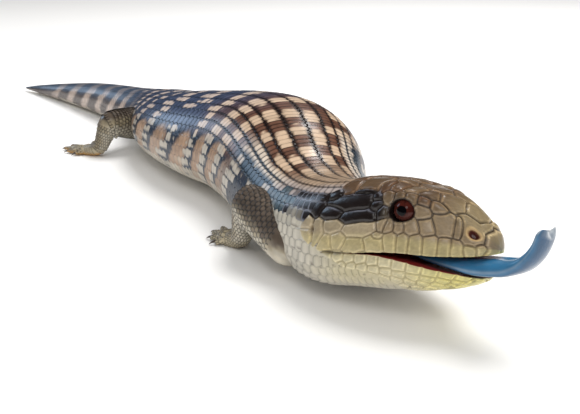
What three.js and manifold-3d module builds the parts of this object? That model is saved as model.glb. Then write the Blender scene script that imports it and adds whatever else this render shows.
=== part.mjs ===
// A blue-tongued skink, life size, lying on its belly with its head raised and its tongue out.
// Millimetres, +Z up, +X toward the head. The floor is at z = 0.
import * as THREE from 'three';
import { mergeVertices } from 'three/addons/utils/BufferGeometryUtils.js';
import Module from 'manifold-3d';

const wasm = await Module();
wasm.setup();

const { Vector3 } = THREE;
const GAP = 0.3;
const degrees = Math.PI / 180;

// Spine. Every table starts at the snout and gives a value for a distance behind it.
const LENGTH = 458;
const HEADING = [[0, 15], [45, 15], [61, -5], [81, -17], [115, -22], [145, -7], [175, 11],
  [205, 3.5], [234, -5], [279, 2.5], [355, 10], [458, 19]];
const SPINE_HEIGHT = [[0, 28.8], [45, 19.7], [60, 17], [74, 15.9], [90, 16.2], [115, 17.9],
  [165, 20], [200, 19.3], [230, 17.2], [255, 15.3], [279, 13.6], [300, 12], [355, 9.4],
  [405, 6.3], [458, 2.6]];
const ROLL = [[0, -11.5], [45, -11.5], [95, 0], [458, 0]];

// Body girth: distance behind the snout, half width, reach above and reach below the spine.
const GIRTH = [[40, 19.5, 19, 16], [56, 20.5, 18, 16.1], [66, 21.3, 17.4, 15.9],
  [80, 23.2, 18.2, 16], [95, 25.9, 20.6, 17], [112, 29.9, 24, 18.7], [140, 34.6, 26, 20.5],
  [170, 36.3, 23.5, 20.5], [200, 33.3, 20, 19.8], [230, 29, 17, 17.7], [255, 23, 15.5, 15.7],
  [268, 18.5, 14.5, 14.8], [281, 16.5, 13.5, 13.8], [300, 15, 12.6, 12.4],
  [325, 13.5, 11.6, 11.2], [355, 11.8, 10, 9.6], [405, 7.5, 6.2, 6.2], [440, 3.6, 3, 3],
  [458, 0.8, 0.8, 0.8]];
const BODY_ANGLES = [90, 66, 42, 20, 0, -18, -38, -62, -90];

// Head. At each station behind the snout, nine points run down one side of the section, from
// the middle of the crown past the brow, cheek, lip and jaw to the middle of the throat. Each
// is a side step and a height from the spine.
const HEAD = [
  [4, [[0, 7], [2.8, 6.7], [5.1, 5], [6.5, 2.4], [6.9, 0.2], [6.6, -2.4], [5.9, -6.4],
    [3.7, -9.4], [0, -10.3]]],
  [8, [[0, 10.5], [3.8, 10.1], [6.4, 8.1], [7.9, 3.9], [8.6, 0.7], [8.8, -2.6], [8.2, -7.6],
    [5.6, -11], [0, -12]]],
  [13, [[0, 13.3], [4.9, 13], [8.1, 10.8], [9.8, 5.4], [11.3, 1.4], [11.8, -2.6],
    [11.3, -8], [7.8, -12], [0, -13.2]]],
  [18, [[0, 15.3], [6, 15.2], [10.3, 13.6], [12, 7.4], [13.9, 2.2], [14.5, -2.2],
    [14, -8.2], [9.6, -12.7], [0, -14]]],
  [23.5, [[0, 16.6], [7.1, 16.3], [12.6, 15.2], [14.3, 8.9], [16.2, 2.8], [16.8, -1.8],
    [16.2, -8.3], [11.4, -13.2], [0, -14.6]]],
  [31, [[0, 18.8], [7.9, 18.2], [13.9, 15.4], [16.7, 8.6], [18.6, 2.8], [18.8, -2],
    [18.4, -8.5], [13.2, -13.7], [0, -15.2]]],
  [40, [[0, 19.3], [8.5, 18.4], [14.9, 14.8], [18.4, 7.8], [20.1, 2.2], [20.3, -3.2],
    [19.8, -9], [14.4, -14], [0, -15.6]]],
  [50, [[0, 18.6], [9, 17.4], [16, 13.4], [19.4, 7.2], [20.7, 1.6], [20.9, -3.8],
    [20.4, -9.6], [15.4, -14.7], [0, -16.4]]],
  [58, [[0, 17.8], [9.4, 16.6], [16.5, 12], [19.6, 6.6], [20.5, 1.2], [20.5, -4.2],
    [20, -9.8], [15.6, -14.7], [0, -16.2]]],
];
const SNOUT_ROUND = 8;
const SNOUT_FIRST = 4;
const SNOUT_LEVEL = -1;
const HEAD_TO_BODY = [50, 72];

// Where the body is parted, and how far apart the rings of each length are.
const CUTS = { neck: 60, trunk_front: 92, trunk_mid: 150, trunk_rear: 208, tail_base: 266,
  tail_mid: 330, tail_tip: 392, end: LENGTH };
const RING = 22;
const RING_STEP = { front: 5, middle: 8, rear: 10 };
const HEAD_RING = 32;

// Mouth: the edge of the upper lip as a height at each distance behind the snout, and how far
// the lower lip hangs below it.
const LIP = [[-6, -1.6], [0, -1.9], [4, -2.4], [8, -2.6], [13, -2.6], [18, -2.3], [23.5, -1.9],
  [31, -2.2], [38, -3], [46, -3.7]];
const GAPE = [[-6, 7.4], [0, 7], [4, 6.4], [8, 5.4], [13, 4.2], [18, 3.2], [23.5, 2.2],
  [31, 0.8], [38, GAP], [46, GAP]];
const JAW_END = 46;

// Tongue: distance behind the snout, height, half width, half thickness and how far its sides
// droop below its middle.
const TONGUE = [[31, -3.1, 4.6, 0.9, 0], [26, -3.3, 6, 1.1, 0.2], [18, -4.1, 7.6, 1.6, 0.6],
  [10, -4.8, 8, 2.1, 1.1], [4, -5.2, 7.7, 2.5, 1.3], [-2, -5.1, 7, 2.6, 1],
  [-6, -4.4, 6.2, 2.4, 0.2], [-9.6, -2.3, 5.6, 1.9, -0.7], [-12.4, 1.2, 5.2, 1.4, -1.2],
  [-14.4, 5.8, 5.4, 0.9, -1.6]];
const TONGUE_STEPS = 17;
const TONGUE_SIDES = 12;
const TONGUE_NOTCH = { depth: 2, half: 1.1 };

// Head openings and eyes, each as distance behind the snout, side step and height.
const EYE = { at: [24, 10.4, 9.9], radius: 4.2, segments: 14 };
const LID = { at: [24, 13.2, 10.1], radius: 4, tube: 1, lean: 0.12 };
const NOSTRIL = { at: [4.8, 6.7, 3], reach: [1.2, 1.4, 1] };
const EAR = { at: [51.5, 20.8, 1.5], reach: [1.6, 3, 3.8] };

// Head shields as raised plates. Each is its middle, as a distance behind the snout and a place
// down the side of the section, counted in control points from the crown, then its half length
// and its half height in the same two measures. The first list lies on the middle line.
const SHIELDS_MIDDLE = {
  frontonasal: [6.4, 0, 2.8, 0.9], frontal: [20.6, 0, 5, 0.5], interparietal: [35.6, 0, 3.8, 0.38],
};
const SHIELDS_PAIRED = {
  prefrontal: [13, 0.72, 2.8, 0.62], frontoparietal: [29, 0.44, 2.4, 0.34],
  parietal: [36, 1.18, 4.2, 0.6], nuchal: [43.4, 0.75, 2, 0.6],
  supraocular_1: [17.8, 1.32, 2, 0.5], supraocular_2: [22.6, 1.2, 2.2, 0.55],
  supraocular_3: [27.4, 1.3, 2, 0.48], loreal_1: [12.3, 2.95, 1.9, 0.46],
  loreal_2: [16.5, 3.3, 1.6, 0.3], temporal_1: [39.6, 2.4, 5.8, 0.24],
  temporal_2: [36.6, 3.02, 5.4, 0.2], temporal_3: [46.3, 2.85, 2.8, 0.22],
  cheek_1: [35.2, 3.7, 4.8, 0.3], cheek_2: [44.6, 3.55, 2.2, 0.28],
  labial_1: [8.5, 4.25, 1.1, 0.48], labial_2: [11.7, 4.2, 1.2, 0.48],
  labial_3: [15.2, 4.22, 1.4, 0.44], labial_4: [19, 4.28, 1.4, 0.4],
  labial_5: [22.5, 4.28, 1.3, 0.38], labial_6: [26.2, 4.3, 1.6, 0.38],
  labial_7: [31, 4.45, 2.4, 0.36],
};
const SHIELD = { rise: 0.5, sink: 0.9, corner: 0.6, inset: 0.9 };

// Legs. Joints are points in the part's frame before it is centred. The near side is the
// right side, at negative Y.
const LEGS = {
  front_right: {
    root: [-66, -27.5, 12.5], elbow: [-86, -31.5, 21], wrist: [-94, -31.5, 4.6],
    girth: [8.6, 7, 5.8, 3.6], palm: [-99, -32.6, 2.4], palmWidth: 4.8,
    digits: [[-103.5, -40], [-109, -38.4], [-113.5, -34.2], [-115, -28.8], [-109.5, -23.2]],
  },
  front_left: {
    root: [-92, 15, 11], elbow: [-107, 31.5, 10.5], wrist: [-99, 39.5, 4.6],
    girth: [8.4, 5.9, 5.2, 3.6], palm: [-95, 43, 2.4], palmWidth: 4.8,
    digits: [[-85.5, 40], [-82, 46], [-84, 52.5], [-90, 56.5], [-98, 55]],
  },
  hind_right: {
    root: [-246, -8, 13.5], elbow: [-239.5, -30, 18.2], wrist: [-242, -36.5, 4.8],
    girth: [9.2, 6.4, 5.4, 3.6], palm: [-248, -40.5, 2.4], palmWidth: 4.6,
    digits: [[-250, -50], [-258, -51.5], [-265, -50.5], [-268, -45], [-260.5, -38.5]],
  },
  hind_left: {
    root: [-247, 12, 13.5], elbow: [-240, 37, 18], wrist: [-250, 43, 4.8],
    girth: [9.2, 6.8, 5.4, 3.6], palm: [-257, 46.5, 2.4], palmWidth: 4.6,
    digits: [[-258, 56], [-266, 58], [-273.5, 56.5], [-276.5, 51], [-270, 44.5]],
  },
};
const LIMB_SIDES = 12;
const PALM_SIDES = 10;
const LIMB_CAP_RINGS = 3;
const LIMB_SPANS = 2;
const PALM_FLATNESS = 0.6;

// Digit: where it starts from the palm, the length of its claw, and along it the share of its
// reach, the height and the radius. The first rows share out the part before the claw.
const DIGIT = { start: 1.2, claw: 3.6, sides: 7 };
const DIGIT_TOE = [[0, 2.3, 2], [0.45, 2.5, 1.65], [0.75, 1.8, 1.4], [0.97, 1.3, 1.35]];
const DIGIT_CLAW = [[0, 1.5, 0.95], [0.5, 1.35, 0.65], [1, 0.4, 0.22]];

// Colours and finishes.
const finish = (color, roughness) => new THREE.MeshStandardMaterial({ color, roughness });
const FINISHES = {
  head: finish(0x9a8768, 0.45), jaw: finish(0xd8c99a, 0.5), tongue: finish(0x3f7ea8, 0.3),
  eye: finish(0x5a2c1c, 0.1), back: finish(0x5d4c3f, 0.5), rear: finish(0x6f7f92, 0.5),
  limb: finish(0x4a4038, 0.55), foot: finish(0xb8a877, 0.6),
};

// A smooth curve through a table that never overshoots its rows.
function table(rows) {
  const x = rows.map((row) => row[0]);
  const width = rows[0].length - 1;
  const columns = [];
  for (let c = 0; c < width; c += 1) {
    const y = rows.map((row) => row[c + 1]);
    const step = [];
    for (let i = 0; i + 1 < x.length; i += 1) step.push((y[i + 1] - y[i]) / (x[i + 1] - x[i]));
    const slope = x.map(() => 0);
    for (let i = 1; i + 1 < x.length; i += 1) {
      if (step[i - 1] * step[i] <= 0) continue;
      const before = x[i] - x[i - 1];
      const after = x[i + 1] - x[i];
      const w1 = 2 * after + before;
      const w2 = after + 2 * before;
      slope[i] = (w1 + w2) / (w1 / step[i - 1] + w2 / step[i]);
    }
    slope[0] = step[0];
    slope[x.length - 1] = step[step.length - 1];
    columns.push({ y, slope });
  }
  return (at) => {
    const u = Math.min(Math.max(at, x[0]), x[x.length - 1]);
    let i = 0;
    while (i < x.length - 2 && u >= x[i + 1]) i += 1;
    const h = x[i + 1] - x[i];
    const t = (u - x[i]) / h;
    const s = 1 - t;
    return columns.map(({ y, slope }) => (1 + 2 * t) * s * s * y[i] + t * s * s * h * slope[i]
      + t * t * (3 - 2 * t) * y[i + 1] + t * t * (t - 1) * h * slope[i + 1]);
  };
}

const smoothstep = (a, b, x) => {
  const t = Math.min(Math.max((x - a) / (b - a), 0), 1);
  return t * t * (3 - 2 * t);
};

const headingAt = table(HEADING);
const heightAt = table(SPINE_HEIGHT);
const rollAt = table(ROLL);
const girthAt = table(GIRTH);
const headAt = table(HEAD.map(([u, points]) => [u, ...points.flat()]));
const lipAt = table(LIP);
const gapeAt = table(GAPE);

// The spine as a chain of frames one millimetre apart: place, forward, left and up.
const spine = [];
{
  let place = null;
  let last = null;
  for (let u = 0; u <= LENGTH; u += 1) {
    const heading = headingAt(u)[0] * degrees;
    const z = heightAt(u)[0];
    const slope = u === 0 ? heightAt(1)[0] - z
      : u === LENGTH ? z - heightAt(u - 1)[0]
        : (heightAt(u + 1)[0] - heightAt(u - 1)[0]) / 2;
    const pitch = Math.asin(-slope);
    const flat = new Vector3(Math.cos(heading), Math.sin(heading), 0).multiplyScalar(Math.cos(pitch));
    if (place === null) place = new Vector3(0, 0, z);
    else place = place.clone().addScaledVector(flat.clone().add(last), -0.5).setZ(z);
    last = flat;
    const forward = flat.clone().setZ(Math.sin(pitch));
    const level = new Vector3(-Math.sin(heading), Math.cos(heading), 0);
    const upright = new Vector3().crossVectors(forward, level);
    const roll = rollAt(u)[0] * degrees;
    const left = level.clone().multiplyScalar(Math.cos(roll)).addScaledVector(upright, Math.sin(roll));
    const up = level.clone().multiplyScalar(-Math.sin(roll)).addScaledVector(upright, Math.cos(roll));
    spine.push({ place, forward, left, up });
  }
}

function frameAt(u) {
  const at = Math.min(Math.max(u, 0), LENGTH);
  const i = Math.min(Math.floor(at), LENGTH - 1);
  const t = at - i;
  const mix = (key) => spine[i][key].clone().lerp(spine[i + 1][key], t);
  const place = mix('place').addScaledVector(spine[0].forward, Math.max(-u, 0));
  return { place, forward: mix('forward').normalize(), left: mix('left').normalize(),
    up: mix('up').normalize() };
}

// A point given by its distance behind the snout, side step and height from the spine.
function local([u, y, z]) {
  const { place, left, up } = frameAt(u);
  return place.clone().addScaledVector(left, y).addScaledVector(up, z);
}

// Nine control points down one side of the section at u, grown outward by fat.
function controls(u, fat) {
  const [w, t, b] = girthAt(u);
  const body = BODY_ANGLES.map((angle) => {
    const c = Math.cos(angle * degrees);
    const s = Math.sin(angle * degrees);
    const y = (w + fat) * Math.abs(c) ** 0.9;
    return [y, s >= 0 ? (t + fat) * s ** 1.02 : -(b + fat) * Math.abs(s) ** 0.85];
  });
  const blend = smoothstep(...HEAD_TO_BODY, u);
  if (blend >= 1) return body;
  const round = (x) => Math.sqrt(1 - (1 - Math.min(x / SNOUT_ROUND, 1)) ** 2.3);
  const shrink = u < SNOUT_FIRST ? round(u) / round(SNOUT_FIRST) : 1;
  const row = headAt(Math.max(u, SNOUT_FIRST));
  return body.map(([by, bz], k) => {
    const y = row[2 * k] * shrink * (1 + fat / 20);
    const z = ((row[2 * k + 1] - SNOUT_LEVEL) * shrink + SNOUT_LEVEL) * (1 + fat / 16);
    return [y * (1 - blend) + by * blend, z * (1 - blend) + bz * blend];
  });
}

// The closed loop of control points at u: down the right side, then up the left.
function controlLoop(u, fat) {
  const side = controls(u, fat);
  const loop = side.map(([y, z]) => [-y, z]);
  for (let k = side.length - 2; k > 0; k -= 1) loop.push(side[k]);
  return loop;
}

// A smooth closed curve through the loop, at t control points from the crown.
function onLoop(loop, t) {
  const m = loop.length;
  const i = Math.floor(t);
  const f = t - i;
  const [p0, p1, p2, p3] = [-1, 0, 1, 2].map((d) => loop[(i + d + 2 * m) % m]);
  return [0, 1].map((c) => 0.5 * (2 * p1[c] + (p2[c] - p0[c]) * f
    + (2 * p0[c] - 5 * p1[c] + 4 * p2[c] - p3[c]) * f * f
    + (3 * p1[c] - p0[c] - 3 * p2[c] + p3[c]) * f * f * f));
}

// The section's outline at u as side steps and heights, from the crown round the right side.
function outline(u, count, fat = 0) {
  const loop = controlLoop(u, fat);
  return Array.from({ length: count }, (_, j) => onLoop(loop, (j / count) * loop.length));
}

// A point of the skin at u and t, and the direction straight out of it.
const skinAt = (u, t) => local([u, ...onLoop(controlLoop(u, 0), t)]);
function outAt(u, t) {
  const along = skinAt(u - 0.4, t).sub(skinAt(u + 0.4, t));
  const round = skinAt(u, t - 0.1).sub(skinAt(u, t + 0.1));
  return along.cross(round).normalize();
}

// A closed solid from points and triangles, turned so that its faces point out.
function solid(points, triangles) {
  let volume = 0;
  const cross = new Vector3();
  for (const [a, b, c] of triangles) volume += points[a].dot(cross.crossVectors(points[b], points[c]));
  const faces = volume < 0 ? triangles.map(([a, b, c]) => [a, c, b]) : triangles;
  const vertProperties = new Float32Array(points.flatMap((p) => [p.x, p.y, p.z]));
  return new wasm.Manifold(new wasm.Mesh({ numProp: 3, vertProperties,
    triVerts: new Uint32Array(faces.flat()) }));
}

// A closed loft through rings of equal count, with a fan at each end round the ring's middle or
// a given point.
function loft(rings, ends = []) {
  const n = rings[0].length;
  const points = rings.flat();
  const triangles = [];
  for (let i = 0; i + 1 < rings.length; i += 1) {
    for (let j = 0; j < n; j += 1) {
      const k = (j + 1) % n;
      const [a, b, c, d] = [i * n + j, i * n + k, (i + 1) * n + k, (i + 1) * n + j];
      triangles.push([a, b, c], [a, c, d]);
    }
  }
  for (const [ring, start, turn] of [[rings[0], 0, true],
    [rings[rings.length - 1], (rings.length - 1) * n, false]]) {
    const middle = ring.reduce((sum, p) => sum.add(p), new Vector3()).divideScalar(n);
    const m = points.push(ends[turn ? 0 : 1] ?? middle) - 1;
    for (let j = 0; j < n; j += 1) {
      const k = (j + 1) % n;
      triangles.push(turn ? [start + k, start + j, m] : [start + j, start + k, m]);
    }
  }
  return solid(points, triangles);
}

// A solid from a three.js geometry, moved by a matrix.
function fromGeometry(geometry, matrix) {
  const bare = geometry.clone();
  bare.deleteAttribute('normal');
  bare.deleteAttribute('uv');
  const merged = mergeVertices(bare, 1e-5).applyMatrix4(matrix);
  const points = [];
  const at = merged.attributes.position;
  for (let i = 0; i < at.count; i += 1) points.push(new Vector3().fromBufferAttribute(at, i));
  const triangles = [];
  for (let i = 0; i < merged.index.count; i += 3) {
    const face = [0, 1, 2].map((k) => merged.index.getX(i + k));
    if (new Set(face).size === 3) triangles.push(face);
  }
  return solid(points, triangles);
}

function axes(place, x, y, z, scale = new Vector3(1, 1, 1)) {
  return new THREE.Matrix4().makeBasis(x, y, z).setPosition(place).scale(scale);
}

const largest = (shape) => shape.decompose().sort((a, b) => b.volume() - a.volume())[0];
const union = (shapes) => shapes.reduce((sum, shape) => sum.add(shape));

function toMesh(name, shape, material) {
  const { numProp, vertProperties, triVerts } = largest(shape).getMesh();
  const positions = new Float32Array((vertProperties.length / numProp) * 3);
  for (let i = 0; i < positions.length / 3; i += 1) {
    for (let c = 0; c < 3; c += 1) positions[3 * i + c] = vertProperties[numProp * i + c];
  }
  const geometry = new THREE.BufferGeometry();
  geometry.setAttribute('position', new THREE.BufferAttribute(positions, 3));
  geometry.setIndex([...triVerts]);
  geometry.computeVertexNormals();
  const mesh = new THREE.Mesh(geometry, material);
  mesh.name = name;
  return mesh;
}

// Everything below the floor, taken from whatever rests on it.
const belowFloor = fromGeometry(new THREE.BoxGeometry(900, 600, 60),
  new THREE.Matrix4().makeTranslation(-200, 0, -30));

// Body lengths
function bodyLength(from, to, step, count = RING, fat = 0) {
  const steps = Math.max(Math.ceil((to - from) / step), 1);
  const rings = [];
  for (let i = 0; i <= steps; i += 1) {
    const u = from + ((to - from) * i) / steps;
    rings.push(outline(u, count, fat).map(([y, z]) => local([u, y, z])));
  }
  return loft(rings);
}

function headWhole() {
  const rings = [];
  const stations = [0.15, 0.8, 2, 3.6, 5.6, 8, 10.5];
  for (let u = 13; u < CUTS.neck - 1; u += 3.4) stations.push(u);
  stations.push(CUTS.neck - GAP / 2);
  for (const u of stations) rings.push(outline(u, HEAD_RING).map(([y, z]) => local([u, y, z])));
  return loft(rings);
}

// The space between the jaws, and the thin cut that parts the lower jaw behind it.
function mouthCut() {
  const stations = [-6, 0, 4, 8, 13, 18, 23.5, 31, 38, JAW_END - GAP / 2];
  const upper = stations.map((u) => [u, lipAt(u)[0]]);
  const lower = stations.map((u) => [u, lipAt(u)[0] - gapeAt(u)[0]]);
  const hinge = [[JAW_END + GAP / 2, lipAt(JAW_END)[0]], [JAW_END + GAP / 2, -40],
    [JAW_END - GAP / 2, -40]];
  const side = [...upper, ...hinge, ...lower.reverse()];
  const shape = new THREE.Shape(side.map(([u, z]) => new THREE.Vector2(u, z)));
  const slab = new THREE.ExtrudeGeometry(shape, { depth: 80, bevelEnabled: false });
  const { place, forward, left, up } = frameAt(0);
  const start = place.clone().addScaledVector(left, 40);
  return fromGeometry(slab, axes(start, forward.clone().negate(), up, left.clone().negate()));
}

function tongueShape(fat) {
  const rings = [];
  const half = table([...TONGUE].reverse());
  const stations = [];
  for (let s = 0; s <= TONGUE_STEPS; s += 1) {
    stations.push(TONGUE[0][0] + (TONGUE[TONGUE.length - 1][0] - TONGUE[0][0]) * (s / TONGUE_STEPS));
  }
  const { left } = frameAt(0);
  stations.forEach((u, i) => {
    const [z, w, t, droop] = half(u);
    const before = stations[Math.max(i - 1, 0)];
    const after = stations[Math.min(i + 1, stations.length - 1)];
    const along = local([after, 0, half(after)[0]]).sub(local([before, 0, half(before)[0]])).normalize();
    const up = new Vector3().crossVectors(left, along).normalize();
    const centre = local([u, 0, z]);
    const ends = Math.min(i, stations.length - 1 - i);
    const taper = ends === 0 ? 0.55 : ends === 1 ? 0.88 : 1;
    rings.push(Array.from({ length: TONGUE_SIDES }, (_, k) => {
      const a = (k / TONGUE_SIDES) * 2 * Math.PI;
      const y = Math.sign(Math.cos(a)) * Math.abs(Math.cos(a)) ** 0.8 * (w * taper + fat);
      const height = Math.sin(a) * (t * taper + fat) - droop * (y / (w + fat)) ** 2;
      return centre.clone().addScaledVector(left, y).addScaledVector(up, height);
    }));
  });
  return loft(rings);
}

function notch() {
  const tip = TONGUE[TONGUE.length - 1];
  const { left, up, forward } = frameAt(0);
  const wedge = new THREE.Shape([[-TONGUE_NOTCH.half, 1], [TONGUE_NOTCH.half, 1],
    [0, -TONGUE_NOTCH.depth]].map(([x, y]) => new THREE.Vector2(x, y)));
  const slab = new THREE.ExtrudeGeometry(wedge, { depth: 10, bevelEnabled: false });
  const start = local([tip[0], 0, tip[1]]).addScaledVector(forward, -5);
  return fromGeometry(slab, axes(start, left, up, forward));
}

// A point on one side of the head: side is 1 for the left and -1 for the right.
const onSide = ([u, y, z], side) => local([u, side * y, z]);

function ball(place, reach, segments) {
  const { left, up, forward } = frameAt(0);
  const geometry = new THREE.SphereGeometry(1, segments, Math.round(segments * 0.6));
  return fromGeometry(geometry, axes(place, forward, left, up, new Vector3(...reach)));
}

// A ring round the eye, turned to face the same way as the cheek.
function lids(side) {
  const { left, up, forward } = frameAt(0);
  const out = left.clone().multiplyScalar(side).addScaledVector(up, LID.lean)
    .addScaledVector(forward, LID.lean).normalize();
  const x = new Vector3().crossVectors(up, out).normalize();
  const y = new Vector3().crossVectors(out, x);
  const geometry = new THREE.TorusGeometry(LID.radius, LID.tube, 7, 18);
  return fromGeometry(geometry, axes(onSide(LID.at, side), x, y, out));
}

// A raised plate on the head: six corners, sunk into the skin and proud of it.
function shield([u, t, long, high]) {
  const { corner, rise, sink, inset } = SHIELD;
  const shape = [[1, 0], [corner, 1], [-corner, 1], [-1, 0], [-corner, -1], [corner, -1]];
  const at = ([x, y], size, lift) => {
    const [uc, tc] = [u + x * long * size, t + y * high * size];
    return skinAt(uc, tc).addScaledVector(outAt(uc, tc), lift);
  };
  return loft([shape.map((p) => at(p, 1, -sink)), shape.map((p) => at(p, inset, rise))],
    [at([0, 0], 1, -sink), at([0, 0], 1, rise * 1.2)]);
}

function shields() {
  const plates = Object.values(SHIELDS_MIDDLE).map(shield);
  for (const [u, t, long, high] of Object.values(SHIELDS_PAIRED)) {
    plates.push(shield([u, t, long, high]), shield([u, -t, long, high]));
  }
  return union(plates);
}

function headAndJaw() {
  let whole = headWhole().add(shields());
  for (const side of [-1, 1]) {
    whole = whole.add(lids(side));
    const eye = EYE.radius + GAP;
    whole = whole.subtract(ball(onSide(EYE.at, side), [eye, eye, eye], EYE.segments));
    whole = whole.subtract(ball(onSide(NOSTRIL.at, side), NOSTRIL.reach, 10));
    whole = whole.subtract(ball(onSide(EAR.at, side), EAR.reach, 12));
  }
  const pieces = whole.subtract(mouthCut()).subtract(tongueShape(GAP)).subtract(belowFloor)
    .decompose().sort((a, b) => b.volume() - a.volume());
  return { head: pieces[0], jaw: pieces[1] };
}

// A limb piece between two points, thick at each end by its own radius, with round ends.
function limbPiece(from, to, r0, r1, sides, flatness = 1) {
  const along = to.clone().sub(from).normalize();
  const help = Math.abs(along.z) > 0.9 ? new Vector3(1, 0, 0) : new Vector3(0, 0, 1);
  const across = new Vector3().crossVectors(help, along).normalize();
  const up = new Vector3().crossVectors(along, across);
  const rings = [];
  const ring = (centre, r) => Array.from({ length: sides }, (_, k) => {
    const a = (k / sides) * 2 * Math.PI;
    return centre.clone().addScaledVector(across, Math.cos(a) * r)
      .addScaledVector(up, Math.sin(a) * r * flatness);
  });
  const capAngles = Array.from({ length: LIMB_CAP_RINGS },
    (_, i) => ((i + 0.35) / LIMB_CAP_RINGS) * (Math.PI / 2));
  for (const a of capAngles) {
    rings.push(ring(from.clone().addScaledVector(along, -Math.cos(a) * r0), Math.sin(a) * r0));
  }
  for (let i = 0; i <= LIMB_SPANS; i += 1) {
    const t = i / LIMB_SPANS;
    rings.push(ring(from.clone().lerp(to, t), r0 + (r1 - r0) * t));
  }
  for (const a of capAngles.reverse()) {
    rings.push(ring(to.clone().addScaledVector(along, Math.cos(a) * r1), Math.sin(a) * r1));
  }
  return loft(rings);
}

// A digit lying along the floor from the palm, arched at its knuckle, with a claw curving down.
function digit(palm, [x, y]) {
  const tip = new Vector3(x, y, 0);
  const direction = tip.clone().sub(palm).setZ(0).normalize();
  const across = new Vector3(-direction.y, direction.x, 0);
  const start = palm.clone().addScaledVector(direction, DIGIT.start).setZ(0);
  const reach = tip.distanceTo(start);
  const claw = 1 - DIGIT.claw / reach;
  const stations = [
    ...DIGIT_TOE.map(([t, height, r]) => [t * claw, height, r]),
    ...DIGIT_CLAW.map(([t, height, r]) => [claw + t * (1 - claw), height, r]),
  ];
  return loft(stations.map(([t, height, r]) => {
    const centre = start.clone().lerp(tip, t).setZ(height);
    return Array.from({ length: DIGIT.sides }, (_, k) => {
      const a = (k / DIGIT.sides) * 2 * Math.PI;
      return centre.clone().addScaledVector(across, Math.cos(a) * r)
        .add(new Vector3(0, 0, Math.sin(a) * r));
    });
  }));
}

function foot(leg) {
  const palm = new Vector3(...leg.palm);
  const wrist = new Vector3(...leg.wrist);
  const pad = limbPiece(wrist, palm, leg.girth[3], leg.palmWidth, PALM_SIDES,
    PALM_FLATNESS);
  return union([pad, ...leg.digits.map((tip) => digit(palm, tip))]);
}

// A thin square cut across a joint, half way between the two pieces' directions.
function jointCut(before, at, after) {
  const normal = at.clone().sub(before).normalize().add(after.clone().sub(at).normalize()).normalize();
  const help = Math.abs(normal.z) > 0.9 ? new Vector3(1, 0, 0) : new Vector3(0, 0, 1);
  const x = new Vector3().crossVectors(help, normal).normalize();
  const y = new Vector3().crossVectors(normal, x);
  return fromGeometry(new THREE.BoxGeometry(30, 30, GAP), axes(at, x, y, normal));
}

function legPieces(name, leg, bodyFat) {
  const root = new Vector3(...leg.root);
  const elbow = new Vector3(...leg.elbow);
  const wrist = new Vector3(...leg.wrist);
  const palm = new Vector3(...leg.palm);
  const [r0, r1, r2, r3] = leg.girth;
  const upper = limbPiece(root, elbow, r0, r1, LIMB_SIDES);
  const lower = limbPiece(elbow, wrist, r2, r3, LIMB_SIDES);
  const atElbow = jointCut(root, elbow, wrist);
  const atWrist = jointCut(elbow, wrist, palm);
  const clear = (shape) => shape.subtract(bodyFat).subtract(belowFloor);
  const arm = clear(upper.add(lower)).subtract(atElbow).subtract(atWrist);
  const hand = clear(foot(leg));
  const halves = arm.decompose();
  const nearest = (point) => halves.slice().sort((a, b) => reach(a, point) - reach(b, point))[0];
  const forearm = nearest(elbow.clone().lerp(wrist, 0.6));
  const others = halves.filter((half) => half !== forearm);
  const upperArm = others.sort((a, b) => b.volume() - a.volume())[0];
  const kinds = name.startsWith('front') ? ['upper_arm', 'forearm', 'foot'] : ['thigh', 'shank', 'foot'];
  const handClear = hand.subtract(fatLimb(elbow, wrist, r2, r3)).subtract(atWrist);
  return [
    toMesh(`${name}_${kinds[0]}`, upperArm, FINISHES.limb),
    toMesh(`${name}_${kinds[1]}`, forearm, FINISHES.limb),
    toMesh(`${name}_${kinds[2]}`, handClear, FINISHES.foot),
  ];
}

// The lower limb grown by the gap, which the foot keeps clear of.
function fatLimb(from, to, r0, r1) {
  return limbPiece(from, to, r0 + GAP, r1 + GAP, LIMB_SIDES);
}

// How far the middle of a shape's box is from a point.
function reach(shape, point) {
  const { min, max } = shape.boundingBox();
  return new Vector3(...min).add(new Vector3(...max)).multiplyScalar(0.5).distanceTo(point);
}

const skink = new THREE.Group();
const { head, jaw } = headAndJaw();
skink.add(toMesh('head', head, FINISHES.head));
skink.add(toMesh('lower_jaw', jaw, FINISHES.jaw));
skink.add(toMesh('tongue', tongueShape(0).subtract(notch()), FINISHES.tongue));
for (const [name, side] of [['eye_right', -1], ['eye_left', 1]]) {
  const r = EYE.radius;
  skink.add(toMesh(name, ball(onSide(EYE.at, side), [r, r, r], EYE.segments), FINISHES.eye));
}

const lengths = Object.entries(CUTS);
for (let i = 0; i + 1 < lengths.length; i += 1) {
  const [name, from] = lengths[i];
  const to = lengths[i + 1][1];
  let step = RING_STEP.middle;
  if (to <= CUTS.trunk_mid) step = RING_STEP.front;
  if (name.startsWith('tail')) step = RING_STEP.rear;
  const shape = bodyLength(from + GAP / 2, to - (to === LENGTH ? 0 : GAP / 2), step);
  const look = name.startsWith('tail') ? FINISHES.rear : FINISHES.back;
  skink.add(toMesh(name, shape.subtract(belowFloor), look));
}

const bodyFat = bodyLength(CUTS.neck, CUTS.tail_mid, RING_STEP.front, RING, GAP);
for (const [name, leg] of Object.entries(LEGS)) skink.add(...legPieces(name, leg, bodyFat));

// The part's origin is under the middle of its box, on the floor.
const box = new THREE.Box3().setFromObject(skink);
const middle = box.getCenter(new Vector3()).setZ(0);
for (const mesh of skink.children) mesh.geometry.translate(-middle.x, -middle.y, 0);

export default skink;
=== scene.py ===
# A blue-tongued skink, life size, lying on its belly with its head raised and its tongue out.
# Shapes are worked out in millimetres in the animal's own frame, with the snout tip over the
# origin, +X ahead, +Y to its left and the floor at z = 0, and are placed in metres at the end.
import math

import bpy
import numpy as np
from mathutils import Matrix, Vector
from mathutils.bvhtree import BVHTree
from mathutils.kdtree import KDTree


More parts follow.
